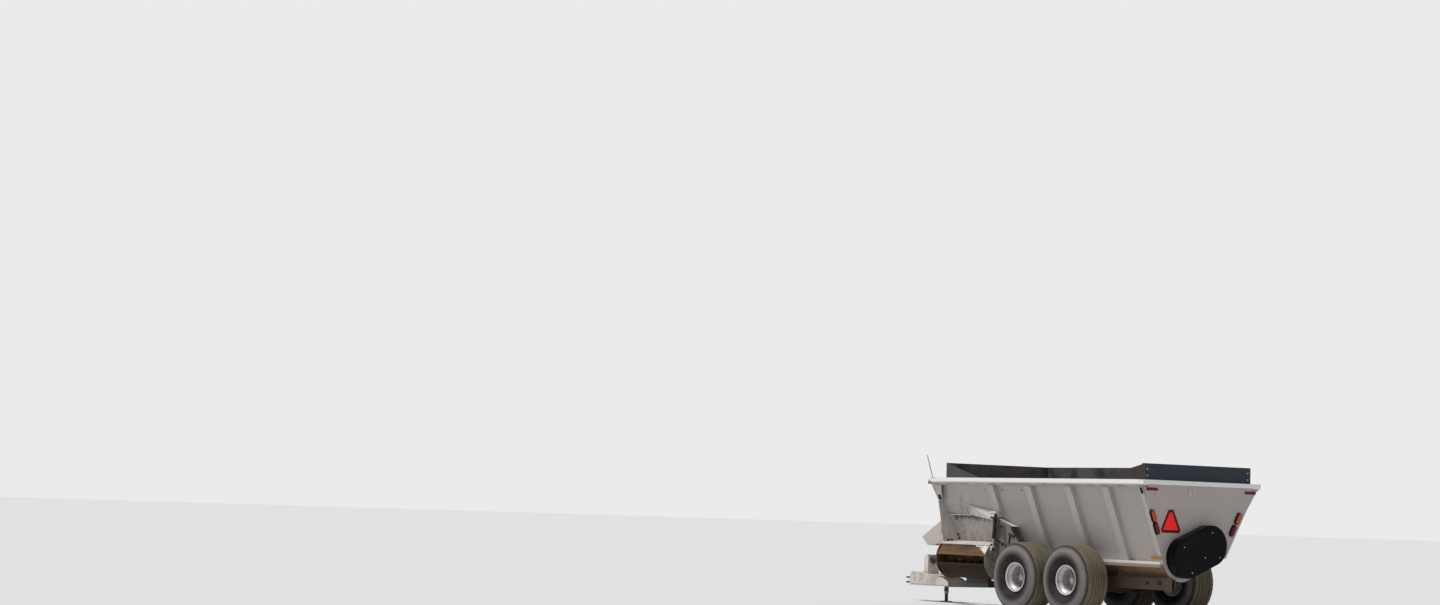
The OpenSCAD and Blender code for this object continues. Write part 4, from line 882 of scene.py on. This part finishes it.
# Rims: pressed and welded steel in silver paint, a deep dish held to its hub by eight nuts.
# Dust has settled inside the dish, and the lip is rubbed bright. A valve and the hub cap's ring are
# joined to the nuts.
def rim_paint(name, axle):
    """Silver paint, darker and dustier towards the hub."""
    finish, tree, shader, place = new_finish(name)
    radius = from_axle(tree, place, axle)
    cloud = grain(tree, place, 0.07, 6, 0.6)
    share = plus(tree, ramped(tree, cloud, 0.4, 0.8, top=0.45), ramped(tree, radius, 0.215, 0.15, top=0.35))
    tone = tinted(tree, share, (0.60, 0.585, 0.585), (0.20, 0.165, 0.135))
    specks = ramped(tree, grain(tree, place, 0.012, 2), 0.68, 0.72, top=0.8)
    feed(tree, shader, {"Base Color": tinted(tree, specks, tone, mud_brown), "Metallic": 0.25,
        "Roughness": plus(tree, 0.36, times(tree, share, 0.5))})
    raised(tree, shader, grain(tree, place, 0.005, 2), 0.0004)
    return finish


def hex_heads(places, facing_to, width, height):
    """Hexagon heads on round washers, one at each place, looking along one direction. Each is a stack of
    twelve-point rings, whose radii are shares of half the width, less at a hexagon's flats."""
    n = unit(facing_to)
    u = unit(np.cross(n, (0.3, 0.2, 1.0)))
    v = np.cross(n, u)
    angle = np.arange(12) * math.pi / 6
    around = np.cos(angle)[:, None] * u + np.sin(angle)[:, None] * v
    hexagon = np.where(np.arange(12) % 2 == 0, 1.0, math.cos(math.pi / 6))
    circle = np.ones(12)
    shares = np.array([1.35 * circle, 1.35 * circle, hexagon, hexagon, 0.86 * hexagon])
    levels = np.array([0.0, 0.22, 0.24, 0.88, 1.0])
    stack = levels[:, None, None] * height * n + shares[:, :, None] * width / 2 * around
    faces = tube_faces(len(levels), 12)
    return [(stack.reshape(-1, 3) + place, faces) for place in np.atleast_2d(places)]


# Nuts: their circle, and how far their seat is in from the rim's middle
nut_count = 8
nut_circle = 0.128
nut_seat = 0.0255
nut_width, nut_height = 0.032, 0.026
nut_turns = np.arange(nut_count) * 2 * math.pi / nut_count
# Profiles of (radius, distance along the axis)
valve_profile = [(0.007, 0.0), (0.007, 0.012), (0.0045, 0.014), (0.0045, 0.040), (0.006, 0.041),
    (0.006, 0.052), (0.002, 0.054)]
cap_ring_profile = [(0.053, 0.0), (0.0555, 0.001), (0.0555, 0.006), (0.053, 0.007)]
# Valve: how far in it stands, its Y and Z from the axle, and its lean; and how far out the ring lies
valve_seat, valve_place, valve_lean = 0.030, (0.12, 0.115), (0.25, 0.25)
cap_ring_seat = 0.052
for end, side in wheels:
    sign = 1 if side == "left" else -1
    low, high = (np.array(c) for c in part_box(f"rim_{end}_{side}"))
    axle = (low + high) / 2
    silver = rim_paint(f"silver_{end}_{side}", axle)
    wear(silver, f"rim_{end}_{side}")
    seats = np.stack([np.full(nut_count, axle[0] - sign * nut_seat),
        axle[1] + nut_circle * np.cos(nut_turns), axle[2] + nut_circle * np.sin(nut_turns)], axis=-1)
    nuts = hex_heads(seats, (sign, 0, 0), nut_width, nut_height)
    nuts.append(turned(valve_profile, axle + (-sign * valve_seat, *valve_place), (sign, *valve_lean), 10))
    nuts.append(turned(cap_ring_profile, axle + (sign * cap_ring_seat, 0, 0), (sign, 0, 0), 40, True))
    surface(f"nuts_{end}_{side}", nuts, silver, f"{end}_{side}_wheel")


# Bolts: zinc-plated hexagon heads that hold the boards and the rear drive cover, with dust on them.
# Those on the housing and the wheel guard are dark from the manure.
def zinc_finish():
    """Dull zinc with a little dust in clouds."""
    finish, tree, shader, place = new_finish("bolt_zinc")
    cloud = grain(tree, place, 0.02, 4)
    tone = tinted(tree, ramped(tree, cloud, 0.4, 0.7, top=0.5), (0.60, 0.60, 0.60), (0.22, 0.19, 0.16))
    feed(tree, shader, {"Base Color": tone, "Metallic": 0.5,
        "Roughness": ramped(tree, cloud, 0.2, 0.8, top=0.7)})
    return finish


zinc = zinc_finish()
board_low, board_high = (np.array(c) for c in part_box("boards"))
board_rows = (2.20, 2.34)
rear_board_seats = [(x, board_high[1], z) for x, z in ((1.062, 2.310), (1.062, 2.212), (-1.040, 2.314),
    (-1.040, 2.211))]
side_board_seats = [(board_low[0], y, z) for y in np.linspace(-1.25, 3.45, 7) for z in board_rows]
front_board_seats = [(x, board_low[1], z) for x in (-1.0, -0.35, 0.35, 1.0) for z in board_rows]
board_bolts = hex_heads(rear_board_seats, to_rear, 0.020, 0.012)
board_bolts += hex_heads(side_board_seats, to_right, 0.024, 0.012)
board_bolts += hex_heads(front_board_seats, to_front, 0.024, 0.012)
surface("board_bolts", board_bolts, zinc, "chassis")
cover_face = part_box("rear_drive_cover")[1][1]
cover_seats = [(x, cover_face, z) for x, z in ((0.486, 1.137), (-0.091, 1.370), (-0.256, 0.992),
    (0.052, 0.987), (0.315, 0.752))]
surface("cover_bolts", hex_heads(cover_seats, to_rear, 0.016, 0.010), zinc, "chassis")

dark_bolt = black_finish("dark_bolt", (0.020, 0.014, 0.010), 0.6, 0.3)
# Front fin of the housing: its rear face in Y, and its bolts at (x, z)
fin_face = -1.3545
fin_seats = [(x, fin_face, z) for x, z in ((0.792, 1.206), (0.758, 1.148), (0.93, 1.105), (1.01, 1.105))]
guard_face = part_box("wheel_guard")[1][0]
guard_seats = [(guard_face, y, z) for y, z in ((0.02, 1.36), (0.045, 1.06), (0.12, 0.84), (0.22, 1.24),
    (0.03, 0.70))]
housing_bolts = hex_heads(fin_seats, to_rear, 0.034, 0.016) + hex_heads(guard_seats, to_left, 0.030, 0.016)
surface("housing_bolts", housing_bolts, dark_bolt, "chassis")

# Weld beads: rippled fillets that join the ribs to the walls, and the hitch box's and stand's feet.
# Each is a thin six-sided cord laid in the corner between two plates, and painted over with them.
bead_step = 0.008
bead_ripple = 0.22
rib_bead_size, foot_bead_size = 0.0042, 0.004


def bead(start, end, radius):
    """A straight fillet from start to end whose radius goes up and down from step to step, and narrows
    at both ends."""
    start, end = np.asarray(start, float), np.asarray(end, float)
    length = np.linalg.norm(end - start)
    steps = max(4, int(length / bead_step))
    swell = radius * (1 + bead_ripple * np.cos(np.arange(steps) * math.pi))
    swell[[0, -1]] *= 0.3
    return turned(np.stack([swell, np.linspace(0, length, steps)], axis=-1), start, end - start, 6)


def wall_bead(side, y, foot, r):
    """A bead up a leaning wall, from a foot to the rib's top, r outside the auger's axis."""
    top = (wall_x(side, rib_top, r), y, rib_top)
    return bead((wall_x(side, foot, r), y, foot), top, rib_bead_size)


def foot_beads(x, z, front, rear):
    """Beads along the left and right foot of a box that runs from front to rear."""
    return [bead((sign * x, front, z), (sign * x, rear, z), foot_bead_size) for sign in (-1, 1)]


rib_middles = (2.7469, 1.8685, 0.8896, -0.0595)
rib_half_width = 0.0745
rib_top = 2.026
# The foremost left rib stands on the housing, and the others on the sill
housing_foot, sill_foot, right_foot = 1.612, 0.912, 1.02
left_bead_reach, right_bead_reach = 0.2915, 0.3985
beads = []
for middle in rib_middles:
    for y in (middle - rib_half_width, middle + rib_half_width):
        left_foot = housing_foot if middle < 0 else sill_foot
        beads.append(wall_bead("left", y, left_foot, left_bead_reach))
        beads.append(wall_bead("right", y, right_foot, right_bead_reach))
beads += foot_beads(x=0.2115, z=0.30, front=-3.42, rear=-2.36)
beads += foot_beads(x=0.122, z=0.515, front=-3.15, rear=-3.045)
surface("weld_beads", beads, painted("bead_paint", wall_grey_shaded), "chassis", 70)


# Small fittings: two folded steel tabs welded high on the rear plate, in light paint, and two faded red
# plastic buttons pressed into the left wall below its rail.
def strip(outline, origin, u, v, thick, edge=0.0015):
    """A flat strip of so many metres, with rounded edges, carried along the cross product of u and v."""
    return shaped(outline, [(edge, 0), (0, edge), (0, thick - edge), (edge, thick)], origin, u, v)


tab_outline = [(0.0, 0.0), (0.012, -0.004), (0.034, 0.010), (0.040, 0.030), (0.034, 0.062),
    (0.014, 0.080), (0.0, 0.078)]
tab_y, tab_foot, tab_thick = 3.6440, 1.935, 0.008
tabs = [strip(tab_outline, (x, tab_y, tab_foot), to_rear, upward, tab_thick) for x in (0.262, 0.166)]
surface("plate_tabs", tabs, painted("tab_paint", (0.74, 0.72, 0.70), soil=0.4), "chassis")
left_lean = wall_lines["left"][0]
left_wall_out = (math.cos(left_lean), 0, -math.sin(left_lean))
button_z, button_reach = 1.958, 0.2905
button_x = wall_x("left", button_z, button_reach)
button_profile = [(0.015, 0.0), (0.015, 0.004), (0.012, 0.007), (0.005, 0.008)]
buttons = [turned(button_profile, (button_x, y, button_z), left_wall_out, 20) for y in (0.135, 0.632)]
button_red = lens("button_red", (0.42, 0.14, 0.13), 0.004, 0.3)
surface("side_buttons", buttons, button_red, "chassis")

# Lifting holes' shade: flat oval plates of black, a little larger than the holes in the corner posts,
# laid on each post's outer face over its hole as painted shade of the hole's dark inside.
left_wall_up = (math.sin(left_lean), 0, math.cos(left_lean))
hole_shade_outline = oval(0.029, 0.052, 0.0, 28)
hole_shade_section = [(0, 0), (0, 0.0012), (0.003, 0.0022), (0.010, 0.0024)]
post_reach = 0.3732
hole_shades = [shaped(hole_shade_outline, hole_shade_section, (wall_x("left", z, post_reach), y, z), to_rear,
    left_wall_up) for y, z in ((3.5715, 1.978), (-1.4667, 1.818))]
hole_shade_black = black_finish("hole_shade_black", (0.004, 0.004, 0.004), 0.7, 0.1, specular=0.12)
surface("hole_shade_plates", hole_shades, hole_shade_black, "chassis")

# Deflector's cylinder: a screwed gland, an end cap, two ports and its pin's head, in black paint.
# They ride with the barrel. The washer on the lower pin is cast steel and rides with the flap.
# Profiles are (radius, distance along the axis)
cylinder_top = np.array((1.140, 0.0485, 1.535))
cylinder_way = np.array((0.0851, 0.0, -0.9964))
gland = [(0.030, 0.330), (0.0335, 0.332), (0.0335, 0.372), (0.031, 0.376), (0.024, 0.382), (0.0136, 0.383)]
end_cap = [(0.0136, 0.036), (0.030, 0.037), (0.0325, 0.041), (0.0325, 0.062), (0.030, 0.066)]
port = [(0.013, 0.0), (0.013, 0.014), (0.010, 0.015), (0.010, 0.030), (0.0125, 0.031), (0.0125, 0.052),
    (0.009, 0.054)]
barrel_trim = [turned(profile, cylinder_top, cylinder_way, 28) for profile in (gland, end_cap)]
port_foot, port_way = (0.026, 0.010, 0.0), (0.6, 0.8, 0.0)
barrel_trim += [turned(port, cylinder_top + cylinder_way * s + port_foot, port_way, 12)
    for s in (0.085, 0.315)]
pin_head = cylinder_top + (0, 0.0145, 0)
barrel_trim += hex_heads([pin_head], to_rear, 0.030, 0.010)
trim_black = black_finish("trim_black", (0.010, 0.010, 0.011), 0.4, 0.3)
surface("cylinder_trim", barrel_trim, trim_black, "cylinder")
cast_grey = worn_steel("cast_grey", (0.10, 0.095, 0.09), (0.055, 0.038, 0.024), 0.6, 0.6)
washer = [(0.030, 0.0), (0.030, 0.003), (0.012, 0.0035), (0.012, 0.011), (0.004, 0.012)]
flap_pin = (1.187, 0.0635, 0.985)
surface("flap_pin", [turned(washer, flap_pin, to_rear, 24)], cast_grey, "deflector_flap")

# Deflector's hinge knuckles: short tubes welded along the flap's upper edge, round the hinge rod.
# They carry the same brown film as the flap.
knuckle = [(0.0125, -0.045), (0.0190, -0.043), (0.0195, 0.0), (0.0190, 0.043), (0.0125, 0.045)]
hinge_x, hinge_z = 1.142, 1.020
knuckle_places = (-1.24, -0.98, -0.71, -0.44, -0.18)
knuckles = [turned(knuckle, (hinge_x, y, hinge_z), to_rear, 18) for y in knuckle_places]
surface("flap_knuckles", knuckles, flap_film, "deflector_flap")

# Hoses' ends: steel ferrules crimped on the hoses where they meet the guard, and two clips.
# They are dark with dirt.
ferrule = [(0.0115, -0.030), (0.0150, -0.028), (0.0155, 0.020), (0.0125, 0.022), (0.0125, 0.034),
    (0.0165, 0.036), (0.0165, 0.050), (0.0120, 0.052)]
clip = [(0.0118, -0.009), (0.0135, -0.0085), (0.0135, 0.0085), (0.0118, 0.009)]
# Place and direction of each ferrule, and (y, z) of each clip
hose_ends = (((0.997, 0.236, 0.985), (0.0, 0.1, -1.0)), ((0.997, 0.313, 1.222), (0.0, 0.9, -0.35)))
clip_x = 0.9965
clip_places = ((0.2335, 1.095), (0.206, 0.990))
hose_fittings = [turned(ferrule, place, way, 14) for place, way in hose_ends]
hose_fittings += [turned(clip, (clip_x, y, z), upward, 14, True) for y, z in clip_places]
surface("hose_ends", hose_fittings, dark_bolt, "chassis")


# Gearbox: a cast housing with cooling ribs, bolted to the front plate, with a bearing cap round its input
# shaft and a filler plug on top. It stands in the CAD block's place.
def casting(stations, middle_x, middle_z, steps=64):
    """Rings along Y from (y, half width, half height, squareness): cosine and sine of the angle, each to
    the power of 2 over the squareness, make a rounded square. It is capped at both ends."""
    t = np.linspace(0, 2 * math.pi, steps, endpoint=False)
    c, s = np.cos(t), np.sin(t)
    rings = []
    for y, half_width, half_height, square in stations:
        x = half_width * np.sign(c) * np.abs(c) ** (2 / square)
        z = half_height * np.sign(s) * np.abs(s) ** (2 / square)
        rings.append(np.stack([middle_x + x, np.full(steps, y), middle_z + z], axis=-1))
    return np.concatenate(rings), tube_faces(len(stations), steps)


plate_y = -1.3600
shaft_z = 0.740
# Ribs: their number, how far ahead of the plate they begin, their pitch, and what each one loses
rib_count, first_rib, rib_pitch = 4, 0.036, 0.052
rib_narrowing, rib_lowering = 0.004, 0.003
# Flange on the plate, four ribs that shrink to the front, then the nose and the bearing cap
stations = [(plate_y, 0.158, 0.138, 9), (plate_y - 0.020, 0.158, 0.138, 9),
    (plate_y - 0.0205, 0.138, 0.118, 6)]
# Each rib: distance ahead of its start, half width and half height before it shrinks
rib_steps = ((0.0, 0.136, 0.116), (0.016, 0.136, 0.116), (0.019, 0.144, 0.124), (0.031, 0.144, 0.124),
    (0.034, 0.134, 0.114))
for k in range(rib_count):
    rib_start = plate_y - first_rib - rib_pitch * k
    stations += [(rib_start - ahead, half_width - rib_narrowing * k, half_height - rib_lowering * k, 6)
        for ahead, half_width, half_height in rib_steps]
stations += [(-1.628, 0.108, 0.100, 3.2), (-1.640, 0.088, 0.088, 2), (-1.668, 0.086, 0.086, 2),
    (-1.672, 0.074, 0.074, 2), (-1.6895, 0.072, 0.072, 2)]
gearbox = surface("gearbox_casting", [casting(stations, 0.0, shaft_z)], cast_grey, "chassis",
    40)
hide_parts("gearbox")
flange_seats = [(x, plate_y - 0.0202, shaft_z + z) for x, z in ((-0.135, -0.122), (0.135, -0.122),
    (-0.135, 0.122), (0.135, 0.122), (0, 0.126), (0, -0.126))]
cap_bolt_circle = 0.080
cap_seats = [(cap_bolt_circle * math.cos(a), -1.6685, shaft_z + cap_bolt_circle * math.sin(a))
    for a in np.arange(6) * math.pi / 3]
gearbox_bolts = hex_heads(flange_seats, to_front, 0.024, 0.014) + hex_heads(cap_seats, to_front, 0.012, 0.008)
filler_plug = (0.05, plate_y - 0.11, 0.8555)
gearbox_bolts += hex_heads([filler_plug], upward, 0.034, 0.016)
surface("gearbox_bolts", gearbox_bolts, zinc, "chassis")

# Driveline's guards: ribbed plastic bells pushed over both ends of the shaft's guard tube, with two
# sliding collars. The splined stub in front of the stand stays bare.
guard_plastic = black_finish("bell_black", (0.008, 0.008, 0.009), 0.45, 0.5)
bell = [(0.046, 0.0), (0.058, 0.002), (0.062, 0.016), (0.057, 0.020), (0.064, 0.036), (0.059, 0.040),
    (0.067, 0.056), (0.062, 0.060), (0.071, 0.078), (0.071, 0.092), (0.066, 0.093), (0.060, 0.080),
    (0.046, 0.078)]
guard_collar = [(0.0452, 0.0), (0.0490, 0.001), (0.0490, 0.030), (0.0452, 0.031)]
bell_ends = ((-1.800, to_rear), (-2.930, to_front))
collar_places = (-2.42, -2.31)
bells = [turned(bell, (0, y, shaft_z), way, 40, True) for y, way in bell_ends]
bells += [turned(guard_collar, (0, y, shaft_z), to_rear, 40, True) for y in collar_places]
surface("shaft_bells", bells, guard_plastic, "chassis")

# Stand's bearings: a cast flange bearing on each side of the stand's plate, round the shaft.
# The front one is held by four bolts, and two bolts on each side hold the hitch box to the tongue.
bearing_half = [(0.047, 0.0), (0.078, 0.0), (0.080, 0.004), (0.080, 0.014), (0.064, 0.026), (0.058, 0.034),
    (0.047, 0.034)]
bearing_seats = ((-3.1528, to_front), (-3.0422, to_rear))
bearings = [turned(bearing_half, (0, y, shaft_z), way, 40, True) for y, way in bearing_seats]
surface("stand_bearings", bearings, cast_grey, "chassis")
stand_bolt_circle = 0.068
stand_seats = [(stand_bolt_circle * math.cos(a), -3.1668, shaft_z + stand_bolt_circle * math.sin(a))
    for a in np.arange(4) * math.pi / 2 + math.pi / 4]
hitch_side, hitch_bolt_z = 0.2103, 0.39
hitch_bolts = hex_heads(stand_seats, to_front, 0.014, 0.010)
for sign in (1, -1):
    side_seats = [(sign * hitch_side, y, hitch_bolt_z) for y in (-3.30, -3.10)]
    hitch_bolts += hex_heads(side_seats, (sign, 0, 0), 0.030, 0.018)
surface("hitch_bolts", hitch_bolts, zinc, "chassis")

# Jack's fittings: a black plastic grip on the crank, and plated steel collars, pin and head.
# The collars are pressed on the tube, and the pin through it holds the leg at its height.
jack_x, jack_y = -0.260, -2.9875
crank_reach, grip_foot = 0.132, 0.832
collar_heights, head_foot, pin_height = (0.152, 0.520), 0.782, 0.205
grip = [(0.006, 0.0), (0.013, 0.002), (0.016, 0.020), (0.013, 0.050), (0.016, 0.082), (0.010, 0.090)]
grip_turned = turned(grip, (jack_x + crank_reach, jack_y, grip_foot), upward, 16)
surface("jack_grip", [grip_turned], guard_plastic, "chassis")
collar = [(0.0383, 0.0), (0.0450, 0.001), (0.0450, 0.024), (0.0383, 0.025)]
head = [(0.0385, 0.0), (0.043, 0.002), (0.043, 0.016), (0.036, 0.022), (0.014, 0.026)]
pin = [(0.006, -0.060), (0.0065, -0.058), (0.0065, 0.055), (0.013, 0.056), (0.013, 0.066), (0.008, 0.068)]
fittings = [turned(collar, (jack_x, jack_y, z), upward, 28, True) for z in collar_heights]
fittings.append(turned(head, (jack_x, jack_y, head_foot), upward, 28))
fittings.append(turned(pin, (jack_x, jack_y, pin_height), to_front, 12))
surface("jack_fittings", fittings, zinc, "chassis")
